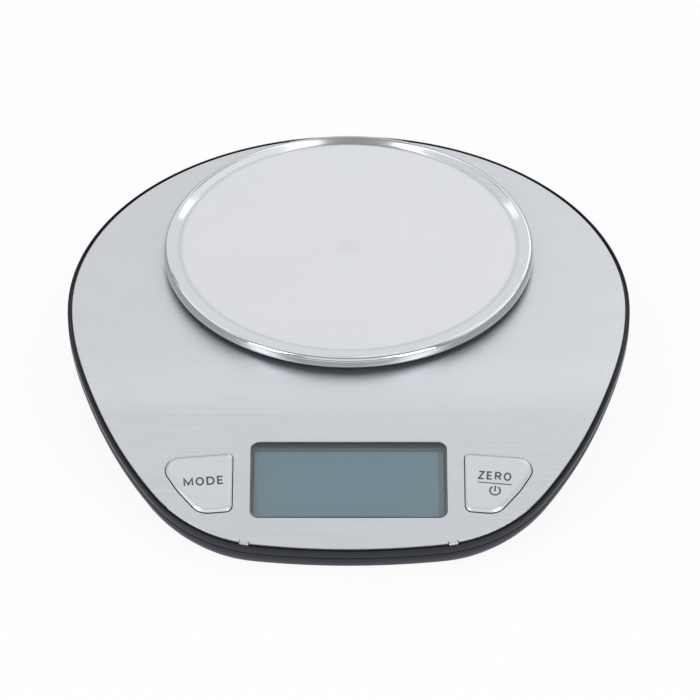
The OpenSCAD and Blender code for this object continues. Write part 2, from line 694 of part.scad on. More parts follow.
module mode_switch() mirror([1, 0, 0]) key_switch();
module zero_switch() key_switch();
module mode_key_cap() mirror([1, 0, 0]) key_cap();
module zero_key_cap() key_cap();
module mode_key_carrier() mirror([1, 0, 0]) key_carrier();
module zero_key_carrier() key_carrier();
module mode_switch_plunger() mirror([1, 0, 0]) switch_plunger();
module zero_switch_plunger() switch_plunger();

module load_cell() color([0.83, 0.84, 0.85]) difference() {
    translate([-cell_l / 2, plate_y - cell_s / 2, cell_bottom]) cube([cell_l, cell_s, cell_s]);
    for (x = [-1, 1]) translate([x * cell_pitch / 2, plate_y, cell_bottom + cell_s / 2])
        rotate([90, 0, 0]) cylinder(d = cell_bore, h = cell_s + 2, center = true, $fn = 64);
    translate([-cell_pitch / 2, plate_y - cell_s, cell_bottom + cell_s / 2 - 1])
        cube([cell_pitch, 2 * cell_s, 2]);
    for (x = concat(cell_screw_at, -cell_screw_at)) translate([x, plate_y, cell_bottom - 1])
        cylinder(d = cell_screw_d + 2 * screw_gap, h = cell_s + 2, $fn = bore_fn);
}

gauge = [6, 4, 0.2];
module strain_gauges() color([0.85, 0.6, 0.25]) for (x = [-1, 1]) {
    translate([x * cell_pitch / 2 - gauge.x / 2, plate_y - gauge.y / 2, cell_top]) cube(gauge);
    translate([x * cell_pitch / 2 - gauge.x / 2, plate_y - gauge.y / 2, cell_bottom - gauge.z]) cube(gauge);
}

module gauge_sealant() color([0.93, 0.93, 0.9]) difference() {
    translate([-cell_pitch / 2 - 4.5, plate_y - cell_s / 2 + 1, cell_top])
        cube([cell_pitch + 9, cell_s - 2, 0.9]);
    for (x = [-1, 1])
        translate([x * cell_pitch / 2 - gauge.x / 2 - 0.05, plate_y - gauge.y / 2 - 0.05, cell_top - 1])
            cube([gauge.x + 0.1, gauge.y + 0.1, 1 + gauge.z + 0.05]);
}

module cell_shim() color([0.75, 0.76, 0.78]) difference() {
    translate([-cell_l / 2, plate_y - cell_s / 2, seat_z]) cube([22, cell_s, shim_t]);
    for (x = cell_screw_at) translate([x, plate_y, seat_z - 1])
        cylinder(d = cell_screw_d + 2 * screw_gap, h = shim_t + 2, $fn = bore_fn);
}

module cell_screws() color([0.6, 0.6, 0.62]) for (x = cell_screw_at) translate([x, plate_y, cell_head_z])
    pan_screw(cell_screw_d, cell_head_d, cell_bottom + cell_s - 2 - cell_head_z);

module overload_screw() color([0.6, 0.6, 0.62]) translate([-cell_screw_at[1], plate_y, floor_z + 0.1])
    cylinder(d = cell_screw_d - 2 * screw_gap, h = cell_bottom - stop_gap - floor_z - 0.1, $fn = bore_fn);

// A tube that follows points, with its ends square to the first and last stretch
function tube_ring(path, i, r, sides) =
    let(n = len(path), t = unit(path[min(i + 1, n - 1)] - path[max(i - 1, 0)]),
        u = unit(cross(t, abs(t.z) < 0.9 ? [0, 0, 1] : [1, 0, 0])), v = cross(t, u))
    [for (k = [0:sides - 1]) path[i] + r * (cos(360 * k / sides) * u + sin(360 * k / sides) * v)];
module tube(path, r, sides = 6) {
    last = len(path) - 1;
    m = sides;
    polyhedron(points = [for (i = [0:last]) each tube_ring(path, i, r, sides)], faces = concat(
        [[for (k = [m - 1:-1:0]) k]], [[for (k = [0:m - 1]) last * m + k]],
        [for (i = [0:last - 1], k = [0:m - 1]) [i * m + k, i * m + (k + 1) % m, (i + 1) * m + k]],
        [for (i = [0:last - 1], k = [0:m - 1])
            [i * m + (k + 1) % m, (i + 1) * m + (k + 1) % m, (i + 1) * m + k]]));
}

// A smooth run through points, with steps points to each stretch
function smooth(p, steps) = let(n = len(p)) concat(
    [for (i = [0:n - 2], k = [0:steps - 1])
        let(t = k / steps, a = p[max(i - 1, 0)], b = p[i], c = p[i + 1], d = p[min(i + 2, n - 1)])
        0.5 * ((2 * b) + (c - a) * t + (2 * a - 5 * b + 4 * c - d) * t * t
            + (3 * b - a - 3 * c + d) * t * t * t)], [p[n - 1]]);

// Place under the board's rear edge where the wires are soldered, in the body's frame
wire_r = 0.6;
solder = [board_high - 1.5, board_top - board_t - wire_r - 0.1];
solder_y = window_y + solder.x * panel_cos - solder.y * sin(panel_slope);
solder_z = cover_z(window_y) + solder.x * sin(panel_slope) + solder.y * panel_cos;
wire_low = floor_z + wire_r + 0.6;
module cell_wires() color([0.8, 0.2, 0.2]) for (i = [0:3])
    tube(smooth([
        [-9 + i * 1.6, plate_y - cell_s / 2 - wire_r - 0.1, cell_bottom + 3],
        [-9 + i * 1.6, plate_y - cell_s / 2 - 4, wire_low],
        [-10 + i * 1.6, plate_y - 30, wire_low],
        [-16 + i * 1.8, bend_y - 10, wire_low],
        [-20 + i * 2.2, solder_y + 14, wire_low + 1],
        [-20 + i * 2.2, solder_y + 3, solder_z - 3],
        [-20 + i * 2.2, solder_y, solder_z]], 4), wire_r);

module battery_wires() color([0.15, 0.15, 0.17]) for (i = [0:1])
    tube(smooth([
        [-box_in_l / 2 + contact_t + 0.4, batt_y - 0.8 + i * 1.6, box_top - 0.8],
        [-box_in_l / 2 - 5, batt_y - 0.8 + i * 1.6, box_top - 0.8],
        [-box_in_l / 2 - 13 - i * 1.6, batt_y - 8 + i * 1.6, 9],
        [-cell_l / 2 - 8 - i * 1.8, plate_y + 8, wire_low],
        [-cell_l / 2 - 8 - i * 1.8, plate_y - 20, wire_low],
        [-38 - i * 2, bend_y - 10, wire_low],
        [-30 - i * 2.2, solder_y + 14, wire_low + 1],
        [-30 - i * 2.2, solder_y + 3, solder_z - 3],
        [-30 - i * 2.2, solder_y, solder_z]], 4), wire_r);

module arm_spacer() color([0.75, 0.76, 0.78]) difference() {
    translate([cell_l / 2 - 22, plate_y - cell_s / 2, cell_top]) cube([22, cell_s, spacer_t]);
    for (x = -cell_screw_at) translate([x, plate_y, cell_top - 1])
        cylinder(d = cell_screw_d + 2 * screw_gap, h = spacer_t + 2, $fn = bore_fn);
}

module carrier_arm() color([0.7, 0.71, 0.73]) difference() {
    union() {
        translate([0, plate_y, arm_bottom]) cylinder(d = hub_d, h = arm_t, $fn = 96);
        translate([0, plate_y - arm_w / 2, arm_bottom]) cube([cell_l / 2 + 2, arm_w, arm_t]);
    }
    for (x = -cell_screw_at) translate([x, plate_y, arm_bottom - 1])
        cylinder(d = cell_screw_d + 2 * screw_gap, h = arm_t + 2, $fn = bore_fn);
    for (a = hub_screw_at) on_hub(a) translate([0, 0, arm_bottom - 1])
        cylinder(d = screw_d + 2 * screw_gap, h = arm_t + 2, $fn = bore_fn);
}

module on_hub(a) translate([0, plate_y, 0])
    rotate([0, 0, a]) translate([hub_d / 2 - hub_wall / 2, 0, 0]) children();

module arm_screws() color([0.6, 0.6, 0.62]) for (x = -cell_screw_at) translate([x, plate_y, arm_top])
    mirror([0, 0, 1]) pan_screw(cell_screw_d, cell_head_d, arm_t + spacer_t + cell_s - 3);

module hub_screws() color([0.6, 0.6, 0.62]) for (a = hub_screw_at) on_hub(a) translate([0, 0, arm_bottom])
    pan_screw(screw_d, head_d, arm_t + hub_bite);

module plate_carrier() color([0.2, 0.2, 0.22]) difference() {
    union() {
        translate([0, plate_y, carrier_bottom]) cylinder(d = carrier_d, h = carrier_t, $fn = 128);
        translate([0, plate_y, arm_top]) cylinder(d = hub_d, h = carrier_top - arm_top, $fn = 96);
    }
    translate([0, plate_y, arm_top - 1])
        cylinder(d = hub_d - 2 * hub_wall, h = carrier_bottom - arm_top + 1, $fn = 96);
    for (a = hub_screw_at) on_hub(a) translate([0, 0, arm_top - 1])
        cylinder(d = screw_d + screw_gap, h = hub_bite + 1.6, $fn = bore_fn);
    for (x = -cell_screw_at) translate([x, plate_y, arm_top - 1])
        cylinder(d = cell_head_d + 0.6, h = cell_head_d * head_share + 1.4, $fn = bore_fn);
    for (a = [45:90:315]) on_pad(a) translate([0, 0, carrier_top - pad_sink])
        cylinder(d = pad_d + 0.3, h = 5, $fn = bore_fn);
}

pad_sink = 0.6;
module on_pad(a) translate([0, plate_y, 0]) rotate([0, 0, a]) translate([pad_ring, 0, 0]) children();

module plate_pads() color([0.85, 0.85, 0.83]) for (a = [45:90:315]) on_pad(a)
    translate([0, 0, carrier_top - pad_sink])
        cylinder(d = pad_d, h = dish_z(pad_ring - pad_d / 2) - plate_t - 0.2 - carrier_top + pad_sink,
            $fn = bore_fn);

// Half section of the plate's sheet: dish, raised ring, rolled edge, skirt and the curl under it
function plate_upper(t) =
    let(out = plate_d / 2 - t, roll = max(roll_r - t, 0.2), top = plate_top - t)
    concat(
        [[0, dish_floor - t]],
        [for (i = [0:10]) let(r = dish_flat + (ring_in - dish_flat) * i / 10) [r, dish_z(r) - t]],
        [for (i = [1:5]) let(u = i / 5) [ring_in + (plate_d / 2 - roll_r - ring_in) * u * 0.96,
            dish_edge - t + ring_h * sin(90 * u)]],
        [for (i = [0:6]) let(a = 90 - 15 * i) [out - roll + roll * cos(a), top - roll + roll * sin(a)]],
        [for (i = [0:5]) let(a = 15 * i, curl = curl_r - t)
            [out - curl + curl * cos(a), plate_bottom + curl_r - curl * sin(a)]]);

module weighing_plate() color([0.85, 0.85, 0.87]) translate([0, plate_y, 0]) rotate_extrude($fn = 180)
    polygon(concat(plate_upper(0), [for (i = [len(plate_upper(0)) - 1:-1:0]) plate_upper(plate_t)[i]]));

// Cell 1 lies to the back with its button on the left, and cell 2 to the front the other way round
module battery_cell(l) {
    cylinder(d = battery_d, h = l - 1, $fn = bore_fn);
    translate([0, 0, l - 1 - eps]) cylinder(d = 3.8, h = 1 + eps, $fn = bore_fn);
}

module battery_cells() color([0.3, 0.55, 0.75]) for (s = [-1, 1])
    translate([s * (-box_in_l / 2 + contact_t + spring_l), batt_y - s * batt_pitch / 2, batt_z])
        rotate([0, s * 90, 0]) battery_cell(battery_l - 0.1);

function coil(r, l, turns, steps) = [for (i = [0:turns * steps])
    let(a = 360 * i / steps, z = l * i / (turns * steps)) [r * cos(a), r * sin(a), z]];

module battery_springs() color([0.8, 0.8, 0.82]) for (s = [-1, 1])
    translate([s * (-box_in_l / 2 + contact_t + spring_wire / 2 + 0.02), batt_y - s * batt_pitch / 2,
        batt_z]) rotate([0, s * 90, 0])
            tube(coil(spring_r, spring_l - spring_wire - 0.06, spring_turns, 8), spring_wire / 2);

module battery_contacts() color([0.82, 0.8, 0.72]) for (s = [-1, 1])
    translate([-box_in_l / 2, batt_y + s * batt_pitch / 2 - contact_s / 2, batt_z - contact_s / 2])
        cube([contact_t, contact_s, contact_s]);

module battery_bridge() color([0.82, 0.8, 0.72])
    translate([box_in_l / 2 - contact_t, batt_y - batt_pitch / 2 - contact_s / 2, batt_z - contact_s / 2])
        cube([contact_t, batt_pitch + contact_s, contact_s]);

module battery_door() color([0.24, 0.24, 0.29]) {
    half = box_in_l / 2 - door_gap;
    front = batt_y - box_in_w / 2 + door_gap;
    translate([-half, front, base_z]) cube([2 * half, hinge_y - front, door_t]);
    translate([0, hinge_y, hinge_z]) rotate([0, 90, 0]) {
        cylinder(r = hinge_r, h = 2 * half, center = true, $fn = bore_fn);
        cylinder(r = pin_r, h = box_in_l + 2 * pin_l, center = true, $fn = bore_fn);
    }
    // Spring tongue that presses on the wall in front
    translate([-6, front, base_z + door_t - eps]) cube([12, 0.9, tongue_rise]);
}

lower_housing();
upper_housing();
cover_plate();
rubber_feet();
housing_screws();
display_window();
lcd_polariser();
lcd_front_glass();
lcd_rear_glass();
lcd_reflector();
lcd_holder();
elastomer_strip();
main_board();
board_chip();
board_parts();
board_crystal();
board_screws();
mode_switch();
zero_switch();
mode_key_cap();
mode_key_carrier();
mode_switch_plunger();
zero_key_cap();
zero_key_carrier();
zero_switch_plunger();
load_cell();
strain_gauges();
gauge_sealant();
cell_shim();
cell_screws();
overload_screw();
cell_wires();
carrier_arm();
arm_spacer();
arm_screws();
hub_screws();
plate_carrier();
plate_pads();
weighing_plate();
battery_cells();
battery_springs();
battery_contacts();
battery_bridge();
battery_wires();
battery_door();
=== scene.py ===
import math

import bmesh
import bpy
from mathutils import Matrix, Vector
from mathutils.geometry import delaunay_2d_cdt


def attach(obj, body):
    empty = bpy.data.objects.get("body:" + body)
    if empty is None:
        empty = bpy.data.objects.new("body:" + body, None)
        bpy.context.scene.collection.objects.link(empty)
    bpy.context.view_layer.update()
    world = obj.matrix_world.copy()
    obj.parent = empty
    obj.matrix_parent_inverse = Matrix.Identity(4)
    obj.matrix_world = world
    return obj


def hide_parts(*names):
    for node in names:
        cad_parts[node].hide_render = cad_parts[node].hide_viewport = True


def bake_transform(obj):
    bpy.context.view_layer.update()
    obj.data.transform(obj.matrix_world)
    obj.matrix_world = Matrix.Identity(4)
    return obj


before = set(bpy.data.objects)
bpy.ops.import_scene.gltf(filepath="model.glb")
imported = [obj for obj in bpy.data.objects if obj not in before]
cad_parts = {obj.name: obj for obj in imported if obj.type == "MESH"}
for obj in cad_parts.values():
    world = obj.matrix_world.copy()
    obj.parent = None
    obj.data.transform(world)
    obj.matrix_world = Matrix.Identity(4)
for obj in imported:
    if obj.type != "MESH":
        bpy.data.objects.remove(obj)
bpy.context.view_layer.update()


# Lower housing: the bowl that stands on the feet and holds the load cell, the battery box and the screw
# posts. It is dark ABS, injection moulded with a fine spark texture. Its walls lean in under a rounded
# shoulder, and the upper housing closes it at the parting line, held by eight screws from below.

class Blank:
    """A piece on the bench while its mesh is made, in millimetres."""

    def __init__(self):
        self.mesh = bmesh.new()

    def ring(self, points):
        return [self.mesh.verts.new(p) for p in points]

    def wall(self, low, high):
        for i in range(len(low)):
            j = (i + 1) % len(low)
            self.mesh.faces.new((low[i], low[j], high[j], high[i]))

    def loft(self, loops):
        """Skins loops one after another and caps both ends."""
        made = [self.ring(loop) for loop in loops]
        for low, high in zip(made, made[1:]):
            self.wall(low, high)
        self.mesh.faces.new(made[0][::-1])
        self.mesh.faces.new(made[-1])

    def turn(self, section, steps, place):
        """Spins a half section of radius and height. One that starts off the axis closes on itself."""
        angles = [math.tau * i / steps for i in range(steps)]
        made = [self.ring([place(r * math.cos(a), r * math.sin(a), h) for a in angles]) for r, h in section]
        back_to = made[:1] if section[0][0] else []
        for low, high in zip(made, made[1:] + back_to):
            self.wall(low, high)

    def block(self, low, high, place):
        """A box between two corners."""
        flat = [(low[0], low[1]), (high[0], low[1]), (high[0], high[1]), (low[0], high[1])]
        self.loft([[place(x, y, z) for x, y in flat] for z in (low[2], high[2])])

    def sheet(self, rims, folds=()):
        """A sheet with holes. Each rim is the run of loops round an edge, from the upper face down."""
        made = [[self.ring(loop) for loop in rim] for rim in rims]
        for rim in made:
            for low, high in zip(rim, rim[1:]):
                self.wall(low, high)
        upper = [v for rim in made for v in rim[0]]
        lower = [v for rim in made for v in rim[-1]]
        for face in triangles([[p[:2] for p in rim[0]] for rim in rims], folds):
            self.mesh.faces.new([upper[i] for i in face])
            self.mesh.faces.new([lower[i] for i in reversed(face)])

    def bevel(self, width, above=-100.0):
        """Breaks the edges that reach above a height."""
        edges = [edge for edge in self.mesh.edges if max(v.co.z for v in edge.verts) > above]
        bmesh.ops.bevel(self.mesh, geom=edges, offset=width, segments=2, profile=0.5, affect="EDGES")

    def close(self):
        bmesh.ops.remove_doubles(self.mesh, verts=self.mesh.verts, dist=0.0004)
        bmesh.ops.recalc_face_normals(self.mesh, faces=self.mesh.faces)

    def shape(self, other, operation):
        """Fuses another blank to this one or cuts it away."""
        bench = []
        for blank in (self, other):
            blank.close()
            data = bpy.data.meshes.new("bench")
            blank.mesh.to_mesh(data)
            bench.append(bpy.data.objects.new("bench", data))
            bpy.context.collection.objects.link(bench[-1])
        tool = bench[0].modifiers.new("tool", "BOOLEAN")
        tool.operation, tool.object = operation, bench[1]
        shaped = bpy.data.meshes.new_from_object(
            bench[0].evaluated_get(bpy.context.evaluated_depsgraph_get()))
        self.mesh.clear()
        self.mesh.from_mesh(shaped)
        other.mesh.free()
        for data in [shaped] + [item.data for item in bench]:
            bpy.data.meshes.remove(data)

    def piece(self, name, finish, body, replaced, slot, crease=32):
        """Puts the finished piece in place of its CAD node, on that node's body, or on none when no body is
        given.
        """
        self.close()
        self.mesh.transform(Matrix.Scale(0.001, 4))
        for face in self.mesh.faces:
            face.smooth = True
        data = bpy.data.meshes.new(name)
        self.mesh.to_mesh(data)
        self.mesh.free()
        data.set_sharp_from_angle(angle=math.radians(crease))
        data.materials.append(finish.material)
        made = bpy.data.objects.new(name, data)
        bpy.context.collection.objects.link(made)
        if body:
            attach(made, body)
        if replaced:
            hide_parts(replaced)
        return made


def inside(point, loop):
    """Whether a point is inside a closed loop."""
    hit = False
    for (ax, ay), (bx, by) in zip(loop, loop[1:] + loop[:1]):
        if (ay > point[1]) != (by > point[1]):
            hit ^= point[0] < ax + (point[1] - ay) * (bx - ax) / (by - ay)
    return hit


def triangles(loops, folds):
    """Triangles between an outer loop and the holes in it, with edges kept along each fold."""
    points = [Vector(p) for loop in loops for p in loop]
    edges, start = list(folds), 0
    for loop in loops:
        edges += [(start + i, start + (i + 1) % len(loop)) for i in range(len(loop))]
        start += len(loop)
    at, _, faces, sources, *_ = delaunay_2d_cdt(points, edges, [], 0, 1e-7, True)
    kept = []
    for face in faces:
        middle = sum((at[i] for i in face), Vector((0, 0))) / len(face)
        if inside(middle, loops[0]) and not any(inside(middle, hole) for hole in loops[1:]):
            kept.append([sources[i][0] for i in face])
    return kept


def at(x, y, z=0.0):
    """Places a piece's own x, y and z at a point."""
    return lambda u, v, w: (x + u, y + v, z + w)


def along_x(x, y, z):
    """Places a piece so that its own axis lies across the body."""
    return lambda u, v, w: (x + w, y + u, z + v)


def rod(radius, low, high):
    """The half section of a plain rod."""
    return [(0, low), (radius, low), (radius, high), (0, high)]


def stepped(wide, seat, narrow, top):
    """The half section of a screw hole, with a wider mouth below for the screw's head."""
    return [(0, -1), (wide, -1), (wide, seat), (narrow, seat), (narrow, top), (0, top)]


class Wire:
    """What comes out of a node, so that the sums of a finish read as sums."""

    def __init__(self, finish, socket):
        self.finish, self.socket = finish, socket

    def sum(self, operation, first, second):
        return self.finish.node("Math", {"operation": operation}, {0: first, 1: second})

    def __add__(self, other):
        return self.sum("ADD", self, other)

    def __sub__(self, other):
        return self.sum("SUBTRACT", self, other)

    def __rsub__(self, other):
        return self.sum("SUBTRACT", other, self)

    def __mul__(self, other):
        return self.sum("MULTIPLY", self, other)

    __radd__, __rmul__ = __add__, __mul__


class Finish:
    """A surface finish: a material whose colour, sheen and grain come from nodes."""

    def __init__(self, name, sockets):
        self.material = bpy.data.materials.new(name)
        self.material.use_nodes = True
        self.tree = self.material.node_tree
        self.shader = self.tree.nodes["Principled BSDF"]
        self.feed(sockets)

    def feed(self, sockets, target=None):
        for key, value in sockets.items():
            socket = (target or self.shader).inputs[key]
            if isinstance(value, Wire):
                self.tree.links.new(value.socket, socket)
            elif socket.type == "RGBA":
                socket.default_value = (*value, 1)
            else:
                socket.default_value = value

    def node(self, kind, settings, sockets, output=0):
        made = self.tree.nodes.new("ShaderNode" + kind)
        for key, value in settings.items():
            if key == "stops":
                ramp = made.color_ramp.elements
                while len(ramp) < len(value):
                    ramp.new(1)
                for stop, (place, grey) in zip(ramp, value):
                    stop.position, stop.color = place, (grey, grey, grey, 1)
            else:
                setattr(made, key, value)
        self.feed(sockets, made)
        return Wire(self, made.outputs[output])

    def spot(self):
        """The place on the piece, in metres in the frame that all pieces share."""
        return self.node("TexCoord", {}, {}, "Object")

    def grain(self, stretch, detail=2.0, spot=None):
        """Noise from 0 to 1, with so many grains to the metre along each axis."""
        scaled = self.node("VectorMath", {"operation": "MULTIPLY"}, {0: spot or self.spot(), 1: stretch})
        return self.node("TexNoise", {}, {"Vector": scaled, "Scale": 1.0, "Detail": detail}, "Fac")

    def blend(self, first, second, share):
        return self.node("Mix", {"data_type": "RGBA"}, {0: share, 6: first, 7: second}, 2)

    def tint(self, first, second, share, rough):
        self.feed({"Base Color": self.blend(first, second, share), "Roughness": rough})

    def bands(self, across, count):
        """Even bands from 0 to 1 along an axis."""
        settings = {"bands_direction": across}
        return self.node("TexWave", settings, {"Vector": self.spot(), "Scale": count}, "Fac")

    def relief(self, height, depth):
        """Bumps of a depth in metres."""
        self.feed({"Normal": self.node("Bump", {}, {"Height": height, "Distance": depth})})


def moulding(name, colour, rough, spark=2600):
    """Moulded plastic: a faint mottle in the colour and a fine spark texture."""
    made = Finish(name, {"Specular IOR Level": 0.35})
    mottle = made.grain((70, 70, 70), 4)
    made.tint([c * 0.85 for c in colour], [c * 1.15 for c in colour], mottle, rough - 0.06 + 0.12 * mottle)
    made.relief(made.grain((spark, spark, spark), 1), 0.00003)
    return made


# The outline of the body: a wide arc at the back, long side arcs, tighter front corners and a slightly
# bowed front.
back_r, side_r, corner_r, front_r = 109.0, 166.0, 58.0, 300.0
back_c = Vector((0.0, 7.0))
front_c = Vector((0.0, front_r - 116.0))
corner_x = 28.5
corner_c = Vector((corner_x, front_c.y - math.sqrt((front_r - corner_r) ** 2 - corner_x ** 2)))
across = corner_c - back_c
reach = ((side_r - back_r) ** 2 - (side_r - corner_r) ** 2 + across.length ** 2) / (2 * across.length)
aside = math.sqrt((side_r - back_r) ** 2 - reach ** 2)
across.normalize()
side_c = back_c + reach * across + aside * Vector((across.y, -across.x))


def heading(towards, centre):
    """Degrees from the back round to the right."""
    return math.degrees(math.atan2(towards.x - centre.x, towards.y - centre.y))


turns = [0.0, heading(back_c, side_c), heading(corner_c, side_c), heading(corner_c, front_c), 180.0]
arcs = list(zip((back_c, side_c, corner_c, front_c), (back_r, side_r, corner_r, front_r), turns, turns[1:]))


def outline(step, extra=()):
    """Stops round the body from the back over the right: an arc's centre, its radius and the heading."""
    right = []
    for centre, radius, start, end in arcs:
        count = math.ceil(radius * math.radians(end - start) / step)
        headings = [start + (end - start) * i / count for i in range(count)]
        headings += [h for h in extra if start < h < end]
        right += [(centre.x, centre.y, radius, h) for h in sorted(headings)]
    right.append((front_c.x, front_c.y, front_r, 180.0))
    return right + [(-x, y, r, -h) for x, y, r, h in right[-2:0:-1]]


def on_stop(stop, inset):
    """A point at a stop, set in from the body's edge."""
    x, y, radius, turned = stop
    turned = math.radians(turned)
    return x + (radius - inset) * math.sin(turned), y + (radius - inset) * math.cos(turned)


# Height of the cover's face: flat under the plate, then a wide bend down into the sloping panel.
top_z, panel_y, bend_y = 31.0, -57.0, -25.0
slope = math.radians(16)
bend_r = (bend_y - panel_y) / math.sin(slope)


def cover_z(y):
    if y >= bend_y:
        return top_z
    if y >= panel_y:
        return top_z - bend_r + math.sqrt(bend_r ** 2 - (bend_y - y) ** 2)
    return top_z - bend_r * (1 - math.cos(slope)) - (panel_y - y) * math.tan(slope)


def face_loop(stops, inset, drop):
    """A loop that follows the cover's face, set in from the body's edge and dropped below that face."""
    flat = [on_stop(stop, inset(stop) if callable(inset) else inset) for stop in stops]
    return [(x, y, cover_z(y) - drop) for x, y in flat]


rim_h, seam = 2.9, 0.35
shoulder_r, lean = 9.0, math.radians(50)


def draw_in(depth):
    """How far the wall has leaned in at a depth below the parting line."""
    if depth < shoulder_r * math.sin(lean):
        return shoulder_r - math.sqrt(shoulder_r ** 2 - depth ** 2)
    return shoulder_r * (1 - math.cos(lean)) + (depth - shoulder_r * math.sin(lean)) * math.tan(lean)


def wall_loop(stops, inset, foot, depth):
    """A loop on the leaning wall, at a depth that may depend on the wall's height above its foot."""
    loop = []
    for stop in stops:
        part = cover_z(on_stop(stop, 0)[1]) - rim_h
        down = depth(part - foot)
        x, y = on_stop(stop, inset + draw_in(down))
        loop.append((x, y, part - down))
    return loop


base_z, root_z, floor_z, shell_t = 1.2, 2.4, 3.4, 2.4
plate_y = 35.25
house_stops = outline(2.6)
wall_shares = (0.09, 0.12, 0.16, 0.2, 0.24, 0.28, 0.35, 0.45, 0.6, 0.75, 0.88)
lower = Blank()
lower.loft(
    [wall_loop(house_stops, 0.5, base_z, lambda h: h),
     wall_loop(house_stops, 0.14, base_z, lambda h: h - 0.12),
     wall_loop(house_stops, 0.0, base_z, lambda h: h - 0.5)]
    + [wall_loop(house_stops, 0.0, base_z, lambda h, s=s: s * h) for s in reversed(wall_shares)]
    + [face_loop(house_stops, 0.02, rim_h + seam + 0.12),
       face_loop(house_stops, 0.06, rim_h + seam + 0.03),
       face_loop(house_stops, 0.16, rim_h + seam),
       face_loop(house_stops, shell_t, rim_h + seam)]
    + [wall_loop(house_stops, shell_t, floor_z, lambda h, s=s: s * h) for s in wall_shares[2:]]
    + [wall_loop(house_stops, shell_t, floor_z, lambda h: h)])

batt_y, batt_z = 68.0, 8.25
box_x, box_y, box_t, box_top = 25.75, 11.5, 1.5, 14.1
# The posts on the right: their place, and how high the post and the seat of its screw's head are.
posts = [(40.0, 70.0, 14.0, 8.0), (70.0, 12.25, 14.0, 8.0),
         (62.0, -45.0, 14.28, 8.28), (24.0, -106.5, 6.61, 5.11)]
feet = [(48.0, -84.0), (58.0, 54.25)]
seat_screws = (-31.5, -21.5)
hinge = (77.95, 2.4)
inner = Blank()
cuts = Blank()
for side in (-1, 1):
    for x, y, top, head in posts:
        inner.turn(rod(4.0, root_z, top), 48, at(side * x, y))
        cuts.turn(stepped(2.8, head, 1.5, top + 1), 48, at(side * x, y))
    for x, y in feet:
        cuts.turn(rod(6.2, 0, 2.0), 64, at(side * x, y))
inner.block((-37.5, plate_y - 9, root_z), (-11.5, plate_y + 9, 5.8), at(0, 0))
inner.turn(rod(4.0, root_z, 5.8), 48, at(-seat_screws[1], plate_y))
inner.block((-box_x - box_t, -box_y - box_t, root_z),
            (box_x + box_t, box_y + box_t, box_top + box_t), at(0, batt_y))
for x in seat_screws:
    cuts.turn(stepped(3.7, 3.6, 2.1, 7), 48, at(x, plate_y))
cuts.turn(rod(2.0, floor_z, 7), 48, at(-seat_screws[1], plate_y))
cuts.block((-box_x, -box_y, -1), (box_x, box_y, box_top), at(0, batt_y))
cuts.block((-box_x - box_t - 1, -2, box_top - 1.6), (-box_x + 1, 2, box_top - 0.01), at(0, batt_y))
bores = Blank()
bores.turn(rod(0.86, -26.95, 26.95), 32, along_x(0, *hinge))
scoop_r = 10.6
scoop = [(scoop_r * math.sin(math.pi * i / 32), -scoop_r * math.cos(math.pi * i / 32)) for i in range(33)]
scoop[0], scoop[-1] = (0, -scoop_r), (0, scoop_r)
finger = Blank()
finger.turn(scoop, 64, at(0, 57.5, -8))
lower.shape(inner, "UNION")
for tool in (cuts, bores, finger):
    lower.shape(tool, "DIFFERENCE")
lower_plastic = moulding("moulded_lower_housing", (0.013, 0.013, 0.030), 0.45)
lower.piece("lower_bowl", lower_plastic, "housing", "lower_housing", "lower_plastic")


# Rubber feet: four turned discs of black rubber, pushed into round recesses in the underside and glued
# there. A ring groove in the face lets them grip.

foot_rubber = moulding("foot_rubber", (0.018, 0.018, 0.019), 0.78, 1500)
foot_face = [(0, 0.35), (1.6, 0.35), (1.9, 0), (3.3, 0), (3.6, 0.3), (4.1, 0.3), (4.4, 0), (5.4, 0),
             (5.75, 0.1), (5.93, 0.3), (6.0, 0.6), (6.0, 2.0), (0, 2.0)]
rubber = Blank()
for side in (-1, 1):
    for x, y in feet:
        rubber.turn(foot_face, 64, at(side * x, y))
rubber.piece("glued_feet", foot_rubber, "housing", "rubber_feet", "foot_rubber")


# Battery compartment: two AAA cells in plain sleeves, coil springs and flat contacts of nickel-plated
# steel, a bridge that joins the cells, and two wires that leave through a slot in the box.

def turned_metal(name, colour, rough, marks=900):
    """Bare metal with fine marks and a little unevenness in its shine."""
    made = Finish(name, {"Metallic": 1.0})
    cloud = made.grain((60, 60, 60), 3)
    made.tint([c * 0.9 for c in colour], colour, cloud, rough - 0.08 + 0.16 * cloud)
    made.relief(made.grain((marks, marks, marks * 4), 2), 0.00001)
    return made


def dress(names, finish, edge=0.0):
    """Gives CAD nodes their finish, and breaks their sharp edges as the real parts have them."""
    for name in names:
        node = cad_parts[name]
        for slot in node.material_slots:
            slot.material = finish.material
        if edge:
            node.modifiers.new("weld", "WELD").merge_threshold = 1e-6
            rounding = node.modifiers.new("edge", "BEVEL")
            rounding.width, rounding.segments, rounding.limit_method = edge / 1000, 2, "ANGLE"
            rounding.angle_limit = math.radians(40)


